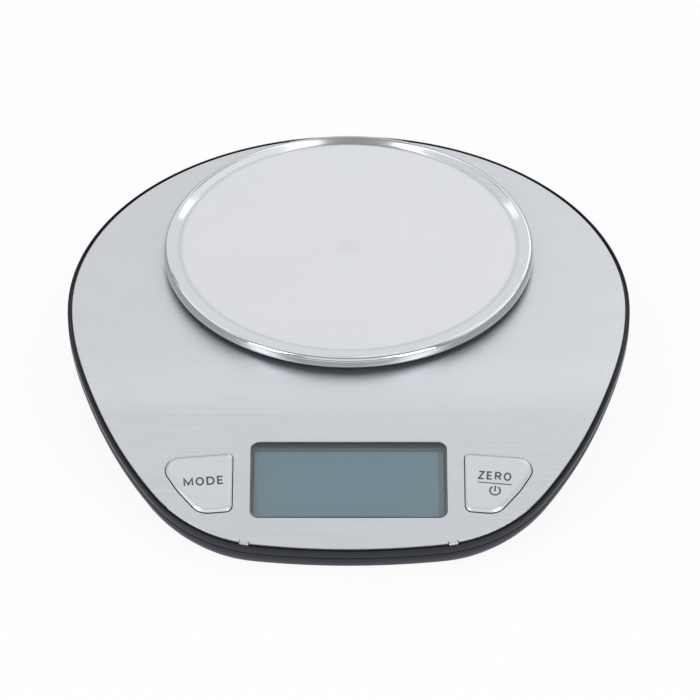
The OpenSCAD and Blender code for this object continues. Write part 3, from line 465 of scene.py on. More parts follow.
nickel = turned_metal("nickel_plate", (0.72, 0.68, 0.60), 0.28)
dress(["battery_contacts", "battery_bridge"], nickel)
sleeve = Finish("battery_sleeve", {})
scuff = sleeve.grain((400, 400, 400), 3)
sleeve.tint((0.03, 0.10, 0.22), (0.05, 0.14, 0.30), scuff, 0.3 + 0.15 * scuff)
cell_steel = turned_metal("battery_steel", (0.66, 0.65, 0.63), 0.3)
cell_r, cell_pitch, contact_t, spring_l = 5.25, 11.3, 0.4, 6.2
skin = [(0, 0.15), (3.2, 0.15), (3.4, 0), (4.6, 0), (5.0, 0.2), (5.15, 0.6), (5.15, 1.2), (cell_r, 1.25),
        (cell_r, 42.3), (5.15, 42.4), (5.1, 43.0), (4.8, 43.35), (2.6, 43.4), (1.95, 43.45), (1.9, 44.2),
        (1.7, 44.4), (0, 44.4)]
for side, name in ((-1, "front_cell"), (1, "back_cell")):
    cell = Blank()
    start = side * (contact_t + spring_l - box_x)
    row_y = batt_y - side * cell_pitch / 2
    cell.turn(skin, 64, lambda u, v, w: (start + side * w, row_y + u, batt_z + side * v))
    made = cell.piece(name, sleeve, "housing", "battery_cells", "battery_jacket")
    made.data.materials.append(cell_steel.material)
    for face in made.data.polygons:
        off_axis = Vector((face.center.y * 1000 - row_y, face.center.z * 1000 - batt_z))
        face.material_index = 1 if off_axis.length < 5.16 else 0


def tube(name, path, radius, finish, body, slot, replaced, steps=12):
    """A round bar or wire along a path, as a mesh with closed ends."""
    blank = Blank()
    frames, side = [], None
    for i, here in enumerate(path):
        ahead = (path[min(i + 1, len(path) - 1)] - path[max(i - 1, 0)]).normalized()
        side = ahead.orthogonal() if side is None else side - ahead * side.dot(ahead)
        side.normalize()
        frames.append((here, side.copy(), ahead.cross(side)))
    ring = [math.tau * k / steps for k in range(steps)]
    blank.loft([[p + radius * (math.cos(a) * u + math.sin(a) * v) for a in ring] for p, u, v in frames])
    return blank.piece(name, finish, body, replaced, slot)


spring_wire, spring_r, spring_turns, turn_steps = 0.7, 3.0, 5, 28
for side, name in ((-1, "front_spring"), (1, "back_spring")):
    coil = []
    for i in range(spring_turns * turn_steps + 1):
        turned = math.tau * i / turn_steps
        lift = (spring_l - spring_wire - 0.06) * i / (spring_turns * turn_steps)
        coil.append(Vector((
            side * (contact_t + spring_wire / 2 + 0.02 + lift - box_x),
            batt_y - side * cell_pitch / 2 + spring_r * math.sin(turned),
            batt_z + side * spring_r * math.cos(turned))))
    tube(name, coil, spring_wire / 2, nickel, "housing", "contact_nickel", "battery_springs", 10)


def run(points, steps=6):
    """A smooth run through points."""
    path = []
    for i in range(len(points) - 1):
        a, b, c, d = (Vector(points[max(0, min(len(points) - 1, i + k))]) for k in (-1, 0, 1, 2))
        for k in range(steps):
            t = k / steps
            path.append(0.5 * ((2 * b) + (c - a) * t + (2 * a - 5 * b + 4 * c - d) * t * t
                               + (3 * b - a - 3 * c + d) * t ** 3))
    return path + [Vector(points[-1])]


window_y, wire_r, wire_low = -84.9, 0.6, 4.6
solder_v, solder_w = 16.5, -10.3
solder_y = window_y + solder_v * math.cos(slope) - solder_w * math.sin(slope)
solder_z = cover_z(window_y) + solder_v * math.sin(slope) + solder_w * math.cos(slope)
leads = (("battery_lead", (0.016, 0.016, 0.018)), ("battery_feed", (0.45, 0.02, 0.02)))
for i, (name, colour) in enumerate(leads):
    pvc = moulding(name + "_sleeve", colour, 0.4, 900)
    tube(name, run([
        (-24.95, batt_y - 0.8 + i * 1.6, box_top - 0.8), (-30.75, batt_y - 0.8 + i * 1.6, box_top - 0.8),
        (-38.75 - i * 1.6, batt_y - 8 + i * 1.6, 9), (-45.5 - i * 1.8, plate_y + 8, wire_low),
        (-45.5 - i * 1.8, plate_y - 20, wire_low), (-38 - i * 2, -35, wire_low),
        (-30 - i * 2.2, solder_y + 14, wire_low + 1), (-30 - i * 2.2, solder_y + 3, solder_z - 3),
        (-30 - i * 2.2, solder_y, solder_z)]), wire_r, pvc, "housing", "wire_pvc", "battery_wires")


# Load cell: a milled aluminium bar with two joined bores, strain gauges under white sealant at the thin
# places, a shim under its fixed end and an overload screw under its free end. Four coloured wires run to
# the board.

milled = Finish("milled_aluminium", {"Metallic": 1.0})
cutter = milled.grain((900, 14, 900), 2)
milled.tint((0.72, 0.73, 0.74), (0.82, 0.83, 0.84), cutter, 0.3 + 0.12 * cutter)
milled.relief(cutter, 0.00001)
cell_low, cell_high, cell_x, cell_y, thin_x = 6.8, 18.8, 37.5, 6.0, 6.5
gauge_x, gauge_y, gauge_t = 3.0, 2.0, 0.2


def flex(blank, name, finish, replaced, slot):
    """Cuts a piece of the bar into short lengths and puts it on no body. On the real bar the free end sinks
    with the arm under a load.
    """
    for step in range(-10, 11, 2):
        everything = blank.mesh.verts[:] + blank.mesh.edges[:] + blank.mesh.faces[:]
        bmesh.ops.bisect_plane(blank.mesh, geom=everything, plane_co=(step, 0, 0), plane_no=(1, 0, 0))
    made = blank.piece(name, finish, None, replaced, slot)
    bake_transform(made)


bar = Blank()
bar.block((-cell_x, -cell_y, cell_low), (cell_x, cell_y, cell_high), at(0, plate_y))
bar.bevel(0.25)
cell_mid = (cell_low + cell_high) / 2
slit = Blank()
slit.block((-thin_x, -8, cell_mid - 1), (thin_x, 8, cell_mid + 1), at(0, plate_y))
bar.shape(slit, "DIFFERENCE")
for x in (-thin_x, thin_x):
    bore = Blank()
    bore.turn(rod(4.5, -8, 8), 64, lambda u, v, w: (x + u, plate_y + w, cell_mid + v))
    bar.shape(bore, "DIFFERENCE")
for x in (-31.5, -21.5, 21.5, 31.5):
    hole = Blank()
    hole.turn(rod(2.2, cell_low - 1, cell_high + 1), 48, at(x, plate_y))
    bar.shape(hole, "DIFFERENCE")
flex(bar, "cell_bar", milled, "load_cell", "cell_aluminium")
zinc = turned_metal("zinc_plated_steel", (0.62, 0.63, 0.65), 0.3)
dress(["cell_shim", "arm_spacer"], zinc, 0.1)
dress(["cell_screws", "overload_screw", "arm_screws", "hub_screws"], zinc, 0.12)
gauge_foil = Finish("gauge_foil", {"Metallic": 0.3})
loops = gauge_foil.bands("Y", 900.0)
gauge_foil.tint((0.45, 0.22, 0.05), (0.72, 0.52, 0.30), loops, 0.35 + 0.2 * loops)
foils, hollows = Blank(), Blank()
for x in (-thin_x, thin_x):
    for low in (cell_low - gauge_t, cell_high):
        foils.block((-gauge_x, -gauge_y, low), (gauge_x, gauge_y, low + gauge_t), at(x, plate_y))
    hollows.block((-gauge_x - 0.05, -gauge_y - 0.05, cell_high - 1),
                  (gauge_x + 0.05, gauge_y + 0.05, cell_high + gauge_t + 0.05), at(x, plate_y))
flex(foils, "cell_gauges", gauge_foil, "strain_gauges", "gauge_foil")
sealant = Finish("cured_sealant", {})
lumps = sealant.grain((500, 500, 500), 3)
sealant.tint((0.74, 0.74, 0.70), (0.86, 0.86, 0.83), lumps, 0.35 + 0.2 * lumps)
sealant.relief(lumps, 0.0002)
bead = Blank()
bead.block((-thin_x - 4.5, -5, cell_high), (thin_x + 4.5, 5, cell_high + 0.9), at(0, plate_y))
bead.bevel(0.3, cell_high + 0.5)
bead.shape(hollows, "DIFFERENCE")
flex(bead, "cell_sealant", sealant, "gauge_sealant", "sealant")
signals = ((0.5, 0.02, 0.02), (0.02, 0.02, 0.022), (0.7, 0.7, 0.68), (0.03, 0.25, 0.06))
for i, colour in enumerate(signals):
    pvc = moulding("signal_sleeve_%d" % i, colour, 0.4, 900)
    tube("signal_wire_%d" % i, run([
        (-9 + i * 1.6, plate_y - 6.7, 9.8), (-9 + i * 1.6, plate_y - 10, wire_low),
        (-10 + i * 1.6, plate_y - 30, wire_low), (-16 + i * 1.8, -35, wire_low),
        (-20 + i * 2.2, solder_y + 14, wire_low + 1), (-20 + i * 2.2, solder_y + 3, solder_z - 3),
        (-20 + i * 2.2, solder_y, solder_z)]), wire_r, pvc, "housing", "wire_pvc", "cell_wires")


# Carrier arm: a cast aluminium arm on the free end of the load cell, which holds the hub under the plate
# carrier. Its two screws go down into the cell, and three more come up through it into the hub.

cast = turned_metal("cast_aluminium", (0.60, 0.61, 0.62), 0.45, 500)
dress(["carrier_arm"], cast, 0.3)


# Main board: green epoxy glass with tinned tracks, hung from four posts under the sloping panel. It carries
# the controller under a drop of black resin, the crystal, the capacitors and the two key switches.

board = Finish("board_laminate", {"Coat Weight": 0.4})
tracks = board.node("TexBrick", {"offset": 0.35}, {
    "Vector": board.spot(), "Scale": 300.0, "Mortar Size": 0.06, "Brick Width": 1.7,
    "Row Height": 0.35}, "Fac")
weave = board.grain((900, 900, 900), 1)
board.tint((0.012, 0.085, 0.030), (0.03, 0.17, 0.06), 0.75 * tracks + 0.2 * weave, 0.3 + 0.15 * weave)
board.relief(tracks, 0.00003)
dress(["main_board"], board, 0.1)
dress(["board_chip"], moulding("chip_resin", (0.012, 0.012, 0.013), 0.25, 300))
dress(["board_parts"], moulding("ceramic_body", (0.42, 0.30, 0.17), 0.4), 0.1)
dress(["board_crystal"], turned_metal("crystal_can", (0.7, 0.7, 0.7), 0.25), 0.35)
dress(["board_screws"], zinc, 0.08)
dress(["mode_switch", "zero_switch"], moulding("switch_body", (0.02, 0.02, 0.022), 0.4), 0.2)
ivory = moulding("switch_plunger", (0.66, 0.64, 0.56), 0.35)
dress(["mode_switch_plunger", "zero_switch_plunger"], ivory, 0.2)


# Display: a liquid crystal cell of two glasses with a polariser in front and a reflector behind. It lies in
# a dark holder under the window, and a zebra strip joins it to the board.

film = Finish("polariser_film", {"Specular IOR Level": 0.3})
haze = film.grain((18, 40, 18), 2)
film.tint((0.160, 0.298, 0.372), (0.174, 0.314, 0.386), haze, 0.34 + 0.08 * haze)
dress(["lcd_polariser"], film)
glass = Finish("display_glass", {"IOR": 1.5})
tone = glass.grain((40, 40, 40), 1)
glass.tint((0.11, 0.175, 0.21), (0.13, 0.195, 0.23), tone, 0.08 + 0.03 * tone)
dress(["lcd_front_glass", "lcd_rear_glass"], glass, 0.05)
mirror_film = turned_metal("reflector_film", (0.55, 0.56, 0.55), 0.35)
dress(["lcd_reflector"], mirror_film)
holder = moulding("holder_plastic", (0.014, 0.034, 0.042), 0.5)
dress(["lcd_holder"], holder, 0.15)
zebra = Finish("zebra_strip", {})
stripes = zebra.bands("X", 1600.0)
zebra.tint((0.02, 0.02, 0.02), (0.55, 0.25, 0.2), stripes, 0.6 + 0.1 * stripes)
dress(["elastomer_strip"], zebra, 0.1)


# Upper housing: dark ABS that carries the cover. Its deck lies under the sheet with openings for the hub,
# window and keys, and its rim shows all round as a grooved black line. A tongue centres it in the lower
# housing.

def panel(u, v, w):
    """A place on the sloping panel: across the window, up the slope and out of the cover."""
    return (u, window_y + v * math.cos(slope) - w * math.sin(slope),
            cover_z(window_y) + v * math.sin(slope) + w * math.cos(slope))


def on_panel(u, v):
    """Places a piece square to the panel, at a point of it."""
    return lambda a, b, c: panel(u + a, v + b, c)


def rounded(corners, steps=8):
    """A closed outline with arcs at its corners. Each corner is a point and its radius."""
    loop = []
    for i, (corner, radius) in enumerate(corners):
        q = Vector(corner)
        a = (Vector(corners[i - 1][0]) - q).normalized()
        b = (Vector(corners[(i + 1) % len(corners)][0]) - q).normalized()
        half = a.angle(b) / 2
        centre = q + (a + b).normalized() * radius / math.sin(half)
        start = q + a * radius / math.tan(half) - centre
        end = q + b * radius / math.tan(half) - centre
        sweep = math.atan2(start.x * end.y - start.y * end.x, start.dot(end))
        loop += [centre + Matrix.Rotation(sweep * k / steps, 2) @ start for k in range(steps + 1)]
    return loop


window_w, window_h, window_r = 73.5, 33.8, 3.2


def window_loop(grow, w):
    """A loop round the window opening, grown all round, at a height above the cover."""
    x, y, r = window_w / 2 + grow, window_h / 2 + grow, window_r + grow
    corners = [((x, y), r), ((-x, y), r), ((-x, -y), r), ((x, -y), r)]
    return [panel(p.x, p.y, w) for p in rounded(corners, 10)]


key_in = window_w / 2 + 6.75
key_out = key_in + 28.7
key_top, key_low = 11.35, -14.1
# The leads of the key's edges in degrees: its top, its foot, its outer side and the side below the knee.
top_lead, foot_lead, outer_lead, knee_lead, knee_run = -5.3, -5.2, 59.0, 51.0, 16.0


def along(lead):
    return Vector((math.cos(math.radians(lead)), math.sin(math.radians(lead))))


def square(lead):
    return Vector((math.sin(math.radians(lead)), -math.cos(math.radians(lead))))


def crossing(p, a, q, b):
    """Where a line through p with lead a meets a line through q with lead b."""
    return p + along(a) * ((q - p).dot(square(b)) / along(a).dot(square(b)))


def key_loop(side, grow, w):
    """A loop round a key, grown all round, at a height above the cover."""
    inner = Vector((key_in - grow, 0))
    top = Vector((key_in, key_top)) - grow * square(top_lead)
    low = Vector((key_in, key_low)) + grow * square(foot_lead)
    outer = crossing(Vector((key_in, key_top)), top_lead, Vector((key_out, 0)), 90)
    knee = outer - knee_run * along(outer_lead) + grow * square(knee_lead)
    outer += grow * square(outer_lead)
    corners = [
        (crossing(top, top_lead, inner, 90), 1.8 + grow),
        (crossing(low, foot_lead, inner, 90), 2.6 + grow),
        (crossing(low, foot_lead, knee, knee_lead), 7 + grow),
        (crossing(outer, outer_lead, knee, knee_lead), 25 + grow),
        (crossing(top, top_lead, outer, outer_lead), 5.4 + grow)]
    return [panel(side * p.x, p.y, w) for p in rounded(corners, 10)]


def hub_loop(radius, z):
    return [(radius * math.cos(a), plate_y + radius * math.sin(a), z)
            for a in (math.tau * i / 120 for i in range(120))]


sheet_t, key_gap = 0.6, 0.25
side_inset, front_inset, slot_inset, hub_r = 1.8, 1.6, 2.5, 21.0
sheet_w, deck_w = sheet_t * math.cos(slope), rim_h * math.cos(slope)
# The rim from the deck over its groove and down its outside: each point's inset and drop.
rim_section = [(front_inset, sheet_t), (1.52, 0.64), (1.5, 0.72), (1.5, 1.18), (1.38, 1.3), (0.67, 1.3),
               (0.55, 1.18), (0.55, 0.42), (0.5, 0.33), (0.4, 0.3), (0.24, 0.31), (0.1, 0.38), (0.02, 0.5),
               (0.0, 0.66), (0.0, 2.74), (0.05, 2.86), (0.16, rim_h), (0.3, rim_h)]
folds_y = [bend_y + (panel_y - bend_y) * i / 20 for i in range(21)]


def fold_headings(inset):
    """Headings at which a loop with this inset crosses the folds of the bend."""
    return [math.degrees(math.acos((y - side_c.y) / (side_r - inset))) for y in folds_y]


def fold_pairs(stops, headings):
    """The ends of each fold, as places in a loop."""
    places = [min(range(len(stops) // 2 + 1), key=lambda i: abs(stops[i][3] - h)) for h in headings]
    return [(i, len(stops) - i) for i in places]


deck_folds = fold_headings(front_inset)
deck_stops = outline(2.6, deck_folds)
upper = Blank()
upper.sheet(
    [[face_loop(deck_stops, inset, drop) for inset, drop in rim_section],
     [hub_loop(hub_r, top_z - sheet_t), hub_loop(hub_r, top_z - rim_h)],
     [window_loop(grow, w) for grow, w in ((1.25, -sheet_w), (1.25, -1.55), (-0.8, -1.55), (-0.8, -deck_w))]]
    + [[key_loop(side, key_gap, -sheet_w), key_loop(side, key_gap, -deck_w)] for side in (-1, 1)],
    fold_pairs(deck_stops, deck_folds))
added = Blank()
cuts = Blank()
board_top, board_post_x = -8.0, 40.25
tab_heading = 169.5
tab_x, tab_y = on_stop((corner_c.x, corner_c.y, corner_r, tab_heading), front_inset)
tab_out = Vector((math.sin(math.radians(tab_heading)), math.cos(math.radians(tab_heading))))


def on_tab(side):
    """Places along the front edge at a tab: along the edge, out of the body and up from the cover's face."""
    def place(u, v, w):
        y = tab_y - u * tab_out.x + v * tab_out.y
        return side * (tab_x + u * tab_out.y + v * tab_out.x), y, cover_z(y) + w

    return place


for side in (-1, 1):
    for x, y, low, _ in posts:
        bite = 2.6 if y < panel_y else 9.0
        added.turn(rod(4.0, low, cover_z(y - 4 if y < bend_y else y) - 1.6), 48, at(side * x, y))
        cuts.turn(rod(1.45, low - 1, min(low + bite + 0.6, cover_z(y) - 1.3)), 32, at(side * x, y))
    for v in (-10, 14.5):
        added.turn(rod(1.85, board_top, -1.6), 32, on_panel(side * board_post_x, v))
        cuts.turn(rod(0.85, board_top - 1, board_top + 4), 24, on_panel(side * board_post_x, v))
    cuts.block((-2.0, -1.05, -2.3), (2.0, 0.8, 1.5), on_tab(side))
tongue = outline(4.0)
collar = [face_loop(tongue, inset, drop) for inset, drop in ((2.9, 2.4), (4.1, 2.4), (4.1, 4.9), (2.9, 4.9))]
rings = [added.ring(loop) for loop in collar]
for low, high in zip(rings, rings[1:] + rings[:1]):
    added.wall(low, high)
upper.shape(added, "UNION")
upper.shape(cuts, "DIFFERENCE")
upper_plastic = moulding("moulded_upper_housing", (0.012, 0.014, 0.023), 0.36)
upper.piece("upper_deck", upper_plastic, "housing", "upper_housing", "upper_plastic")


# Cover plate: one sheet of stainless steel, stamped, brushed from side to side and bent down at the front.
# It lies on the deck inside the rim, and two small bent tabs hook it over the front edge.

step_y, slot_w = -96.9, 4.0
step_heading = math.degrees(math.acos((step_y - corner_c.y) / (corner_r - front_inset)))
slot_half = math.degrees(slot_w / 2 / (corner_r - front_inset))
slot_headings = [tab_heading + s * slot_half * k for s in (-1, 1) for k in (1.0, 0.995)]


def sheet_inset(stop):
    """How far the sheet's edge is set in from the body's edge."""
    turned = abs(stop[3])
    if turned <= step_heading + 0.001:
        return side_inset
    return slot_inset if abs(turned - tab_heading) < slot_half * 0.998 else front_inset


def sheet_loop(more, drop):
    return face_loop(cover_stops, lambda stop: sheet_inset(stop) + more, drop)


cover_folds = fold_headings(side_inset + 0.22)
cover_stops = outline(2.4, cover_folds + slot_headings + [step_heading, step_heading + 0.03])
edge_roll = [(0.22, 0), (0.16, 0), (0.08, 0.02), (0.02, 0.08), (0.0, 0.16), (0.0, sheet_t)]
hole_roll = [(0.34, 0), (0.3, 0), (0.18, -0.026), (0.08, -0.09), (0.02, -0.19), (0.0, -0.3), (0.0, -sheet_w)]
cover = Blank()
cover.sheet(
    [[sheet_loop(more, drop) for more, drop in edge_roll],
     [hub_loop(hub_r + more, top_z + w) for more, w in hole_roll],
     [window_loop(more, w) for more, w in hole_roll]]
    + [[key_loop(side, key_gap + more, w) for more, w in hole_roll] for side in (-1, 1)],
    fold_pairs(cover_stops, cover_folds))
hook = [(-0.9, 0), (0.1, 0)] + [(0.1 + 0.55 * math.sin(a), -0.55 + 0.55 * math.cos(a))
                                for a in (math.radians(18 * i) for i in range(1, 6))]
hook += [(0.65, -1.9), (0.55, -2.0), (0.15, -2.0), (0.05, -1.9), (0.05, -0.75), (-0.1, -sheet_t),
         (-0.9, -sheet_t)]
for side in (-1, 1):
    cover.loft([[on_tab(side)(u, v, w) for v, w in hook] for u in (-1.7, -0.85, 0, 0.85, 1.7)])

brushed = Finish("brushed_cover_steel", {"Metallic": 0.86})
hair = brushed.grain((25, 5200, 5200), 2)
streak = brushed.grain((9, 900, 900), 3)
cloud = brushed.grain((14, 22, 22), 2)
brushed.tint((0.575, 0.595, 0.625), (0.625, 0.645, 0.672), 0.6 * streak + 0.4 * cloud, 0.26 + 0.06 * streak)
brushed.relief(hair, 0.00006)
cover.piece("brushed_cover", brushed, "housing", "cover_plate", "cover_sheet")


# Display window: a clear acrylic lens with a polished, rounded edge. Its flange is trapped between the deck
# and the sheet, and its face stands a little above the cover.

clear = Finish("clear_acrylic", {"Base Color": (1, 1, 1), "Transmission Weight": 1.0, "IOR": 1.49})
polish = clear.grain((220, 220, 220), 2)
clear.feed({"Roughness": 0.01 + 0.02 * polish})
lens = Blank()
lens_edge = [(-0.25 - 0.35 * (1 - math.cos(a)), -0.15 + 0.35 * math.sin(a))
             for a in (math.radians(15 * i) for i in range(7))]
lens.loft([window_loop(more, w) for more, w in
           [(1.0, -1.54), (1.1, -1.44), (1.1, -0.62), (-0.25, -0.62)] + lens_edge + [(-0.68, 0.2)]])
lens.piece("window_lens", clear, "housing", "display_window", "clear_lens")


# Keys: pressed steel caps with a rolled edge on plastic carriers that ride on the switches' plungers. The
# word, the rule and the power sign on them are printed in dark grey.

key_plastic = moulding("key_carrier_plastic", (0.03, 0.03, 0.035), 0.4)
dress(["mode_key_carrier", "zero_key_carrier"], key_plastic, 0.1)
key_steel = Finish("satin_key_steel", {"Metallic": 1.0})
hair = key_steel.grain((60, 5200, 5200), 2)
cloud = key_steel.grain((60, 60, 60), 2)
key_steel.tint((0.615, 0.632, 0.665), (0.65, 0.665, 0.695), cloud, 0.30 + 0.06 * hair)
key_steel.relief(hair, 0.000008)
# The cap's edge from its foot up: a small roll, a slope of 26 degrees and a wider roll into the flat top.
key_top_w, foot_roll, top_roll, ramp = 0.8, 0.22, 0.7, 1.05
tilt = math.radians(26)
key_edge = [(-foot_roll * (1 - math.sin(a)), 0.071 + foot_roll * math.cos(a))
            for a in (math.radians(90 - 16 * i) for i in range(5))]
ramp_in = key_edge[-1][0] - ramp * math.cos(tilt)
key_edge += [(ramp_in - top_roll * (math.sin(tilt) - math.sin(a)), key_top_w - top_roll * (1 - math.cos(a)))
             for a in (math.radians(26 - 5.2 * i) for i in range(6))]
ink = moulding("legend_ink", (0.075, 0.075, 0.088), 0.5)


def ribbon(points, width):
    """The flat quads of a pen stroke, with mitred corners. One that ends where it starts is closed."""
    path = [Vector(p) for p in points]
    closed = (path[0] - path[-1]).length < 1e-6
    if closed:
        path.pop()
    sides = []
    for i, here in enumerate(path):
        before, after = here - path[i - 1], path[(i + 1) % len(path)] - here
        if not closed and i in (0, len(path) - 1):
            before = after = after if i == 0 else before
        a, b = before.normalized(), after.normalized()
        out = Vector((-a.y - b.y, a.x + b.x)).normalized()
        out *= width / 2 / max(0.42, out.dot(Vector((-b.y, b.x))))
        sides.append((here + out, here - out))
    pairs = list(zip(sides, sides[1:])) + ([(sides[-1], sides[0])] if closed else [])
    return [[a, b, d, c] for (a, b), (c, d) in pairs]


def arc(x, y, rx, ry, start, end, steps):
    return [(x + rx * math.cos(math.radians(start + (end - start) * i / steps)),
             y + ry * math.sin(math.radians(start + (end - start) * i / steps))) for i in range(steps + 1)]


pen = {
    "M": [[(0, 0), (0, 1), (0.5, 0.16), (1, 1), (1, 0)]],
    "O": [arc(0.5, 0.5, 0.5, 0.5, 0, 360, 32)],
    "D": [[(0, 0), (0, 1), (0.42, 1)] + arc(0.42, 0.5, 0.58, 0.5, 80, -80, 14) + [(0.42, 0), (0, 0)]],
    "E": [[(1, 1), (0, 1), (0, 0), (1, 0)], [(0, 0.5), (0.86, 0.5)]],
    "Z": [[(0.03, 1), (0.97, 1), (0.03, 0), (1, 0)]],
    "R": [[(0, 0), (0, 1), (0.5, 1)] + arc(0.5, 0.74, 0.45, 0.26, 75, -75, 8) + [(0.5, 0.48), (0, 0.48)],
          [(0.52, 0.48), (0.98, 0)]],
}


def legend(word, widths, height, gap, width):
    """The strokes of a word: each letter has its own width, and the pen's width stays inside it."""
    strokes, start = [], 0.0
    for letter, wide in zip(word, widths):
        for line in pen[letter]:
            strokes.append([(start + width / 2 + x * (wide - width), width / 2 + y * (height - width))
                            for x, y in line])
        start += wide + gap
    return strokes


def print_on(name, strokes, width, spot, turned, body):
    """Prints strokes on a key's top as a thin raised layer of ink."""
    blank = Blank()
    turn_by = Matrix.Rotation(math.radians(turned), 2)
    quads = [q for line in strokes for q in ribbon(line, width)]
    quads = [[turn_by @ p + Vector(spot) for p in q] for q in quads]
    points = [p for q in quads for p in q]
    places = [tuple(range(4 * i, 4 * i + 4)) for i in range(len(quads))]
    flat, _, faces, _, _, sources = delaunay_2d_cdt(points, [], places, 1, 1e-6, True)
    faces = [face for face, source in zip(faces, sources) if source]
    top = blank.ring([panel(p.x, p.y, key_top_w + 0.02) for p in flat])
    low = blank.ring([panel(p.x, p.y, key_top_w - 0.02) for p in flat])
    count = {}
    for face in faces:
        blank.mesh.faces.new([top[i] for i in face])
        blank.mesh.faces.new([low[i] for i in reversed(face)])
        for edge in zip(face, face[1:] + face[:1]):
            count[frozenset(edge)] = None if frozenset(edge) in count else edge
    for edge in filter(None, count.values()):
        a, b = edge
        blank.mesh.faces.new((top[b], top[a], low[a], low[b]))
    return blank.piece(name, ink, body, None, "key_steel")


caps = ((-1, "mode_button", "mode_key_cap", "mode_cap"), (1, "zero_button", "zero_key_cap", "zero_cap"))
for side, body, node, name in caps:
    cap = Blank()
    cap.loft([key_loop(side, more, w) for more, w in [(-0.05, -0.8), (0, -0.75)] + key_edge
              + [(key_edge[-1][0] - 0.08, key_top_w)]])
    cap.piece(name, key_steel, body, node, "key_steel")
mode_word = legend("MODE", (3.7, 3.25, 3.15, 2.55), 3.8, 0.82, 0.7)
zero_word = legend("ZERO", (2.55, 2.3, 2.58, 2.9), 3.75, 0.73, 0.66)
power = [arc(0, 0, 1.92, 1.92, 123, 417, 30), [(0, -0.4), (0, 2.2)]]
print_on("mode_legend", mode_word, 0.7, (-61.55, -3.8), 4.8, "mode_button")
print_on("zero_legend", zero_word, 0.66, (48.15, -0.3), -4.6, "zero_button")
print_on("zero_rule", [[(48.1, -1.65), (60.85, -2.9)]], 0.42, (0, 0), 0, "zero_button")
print_on("power_sign", power, 0.62, (54.55, -5.5), -4.6, "zero_button")


# Plate carrier: a stiff black disc on the hub, which comes up through the opening in the cover. Four
# silicone pads in round recesses hold the plate, which lifts off for washing.

carrier_plastic = moulding("carrier_plastic", (0.022, 0.022, 0.026), 0.45)
dress(["plate_carrier"], carrier_plastic, 0.3)
silicone = moulding("silicone_pad", (0.55, 0.55, 0.53), 0.55, 900)
dress(["plate_pads"], silicone, 0.4)


# Weighing plate: stainless steel sheet, spun on a lathe into a shallow dish with a raised ring. Its edge is
# rolled over and down, which hides the carrier. The dish keeps the lathe's satin lines and the ring is
# polished.

plate_r, plate_low, plate_top, plate_t = 72.5, 32.6, 37.6, 0.7
ring_in, ring_rise, dish_flat, dish, roll = 66.0, 0.6, 6.0, 0.8, 1.8
dish_r = ((ring_in - dish_flat) ** 2 + dish ** 2) / (2 * dish)
ring_foot, foot_slope, foot_bend = ring_in - 0.4, 0.0266, 0.048


def dish_z(r):
    rim = plate_top - ring_rise - dish + dish_r
    return rim - math.sqrt(dish_r ** 2 - max(r - dish_flat, 0) ** 2)


def plate_face(inward):
    """The half section from the axis over the rolled edge and round its foot, set in by a thickness."""
    section = [(r, dish_z(r) - inward) for r in (0, 3, 6, 12, 20, 28, 36, 44, 52, 58, 62, 64, 65, ring_foot)]
    section += [(ring_foot + t, dish_z(ring_foot) + foot_slope * t + foot_bend * t * t - inward)
                for t in (0.2, 0.4, 0.6, 0.8, 1.0)]
    start, bend = Vector(section[-1]), roll - inward
    turned = [(plate_r - roll + bend * math.sin(a), plate_top - roll + bend * math.cos(a))
              for a in (math.radians(-7 + 97 * i / 16) for i in range(17))]
    section += [tuple(start.lerp(Vector(turned[0]), k / 4)) for k in (1, 2, 3)]
    curled = [(plate_r - roll + bend * math.cos(a), plate_low + roll - bend * math.sin(a))
              for a in (math.radians(6 * i) for i in range(12))]
    return section + turned + curled


plate = Blank()
plate.turn(plate_face(0) + plate_face(plate_t)[::-1], 256, at(0, plate_y))
spun = Finish("spun_plate_steel", {"Metallic": 1.0})
centred = spun.node("VectorMath", {"operation": "SUBTRACT"}, {0: spun.spot(), 1: (0, plate_y / 1000, 0)})
flat = spun.node("VectorMath", {"operation": "MULTIPLY"}, {0: centred, 1: (1, 1, 0)})
radius = spun.node("VectorMath", {"operation": "LENGTH"}, {0: flat}, "Value")
direction = spun.node("VectorMath", {"operation": "NORMALIZE"}, {0: flat})
swept = spun.node("VectorMath", {"operation": "SCALE"}, {0: direction, "Scale": 2.2})
lift = spun.node("CombineXYZ", {}, {2: radius * 4200})
around = spun.node("VectorMath", {"operation": "ADD"}, {0: swept, 1: lift})
lines = spun.node("TexNoise", {}, {"Vector": around, "Scale": 1.0, "Detail": 2.0}, "Fac")
cloud = spun.grain((30, 30, 30), 3)
on_ring = spun.node("ValToRGB", {"stops": [(0.0, 0), (0.652, 0), (0.664, 1), (1.0, 1)]}, {0: radius * 10})
# Painted shade: this ramp darkens a thin band in the crease at the foot of the raised ring, and also a small
# spot at the centre.
crease = spun.node("ValToRGB", {"stops": [
    (0.0, 0.35), (0.03, 0.25), (0.06, 0), (0.648, 0), (0.659, 1), (0.663, 1), (0.674, 0), (1.0, 0)]},
    {0: radius * 10})
satin = spun.blend((0.672, 0.686, 0.71), (0.742, 0.754, 0.777), 0.5 * lines + 0.5 * cloud)
toned = spun.blend(satin, (0.625, 0.645, 0.675), on_ring)
# The dark colour mixed in here is the painted crease shade at the ring's foot and the darker centre spot.
spun.tint(toned, (0.42, 0.435, 0.46), 0.35 * crease, 0.36 + 0.06 * lines + 0.05 * cloud - 0.36 * on_ring)
spun.relief(lines * (1 - on_ring), 0.000008)
plate.piece("spun_plate", spun, "plate", "weighing_plate", "plate_sheet", 40)


# Battery door: a dark ABS flap in the underside, moulded with two hinge pins at its rear edge. A spring
# tongue at its front edge presses on the wall of the battery box and keeps it shut.

dress(["battery_door"], lower_plastic, 0.2)


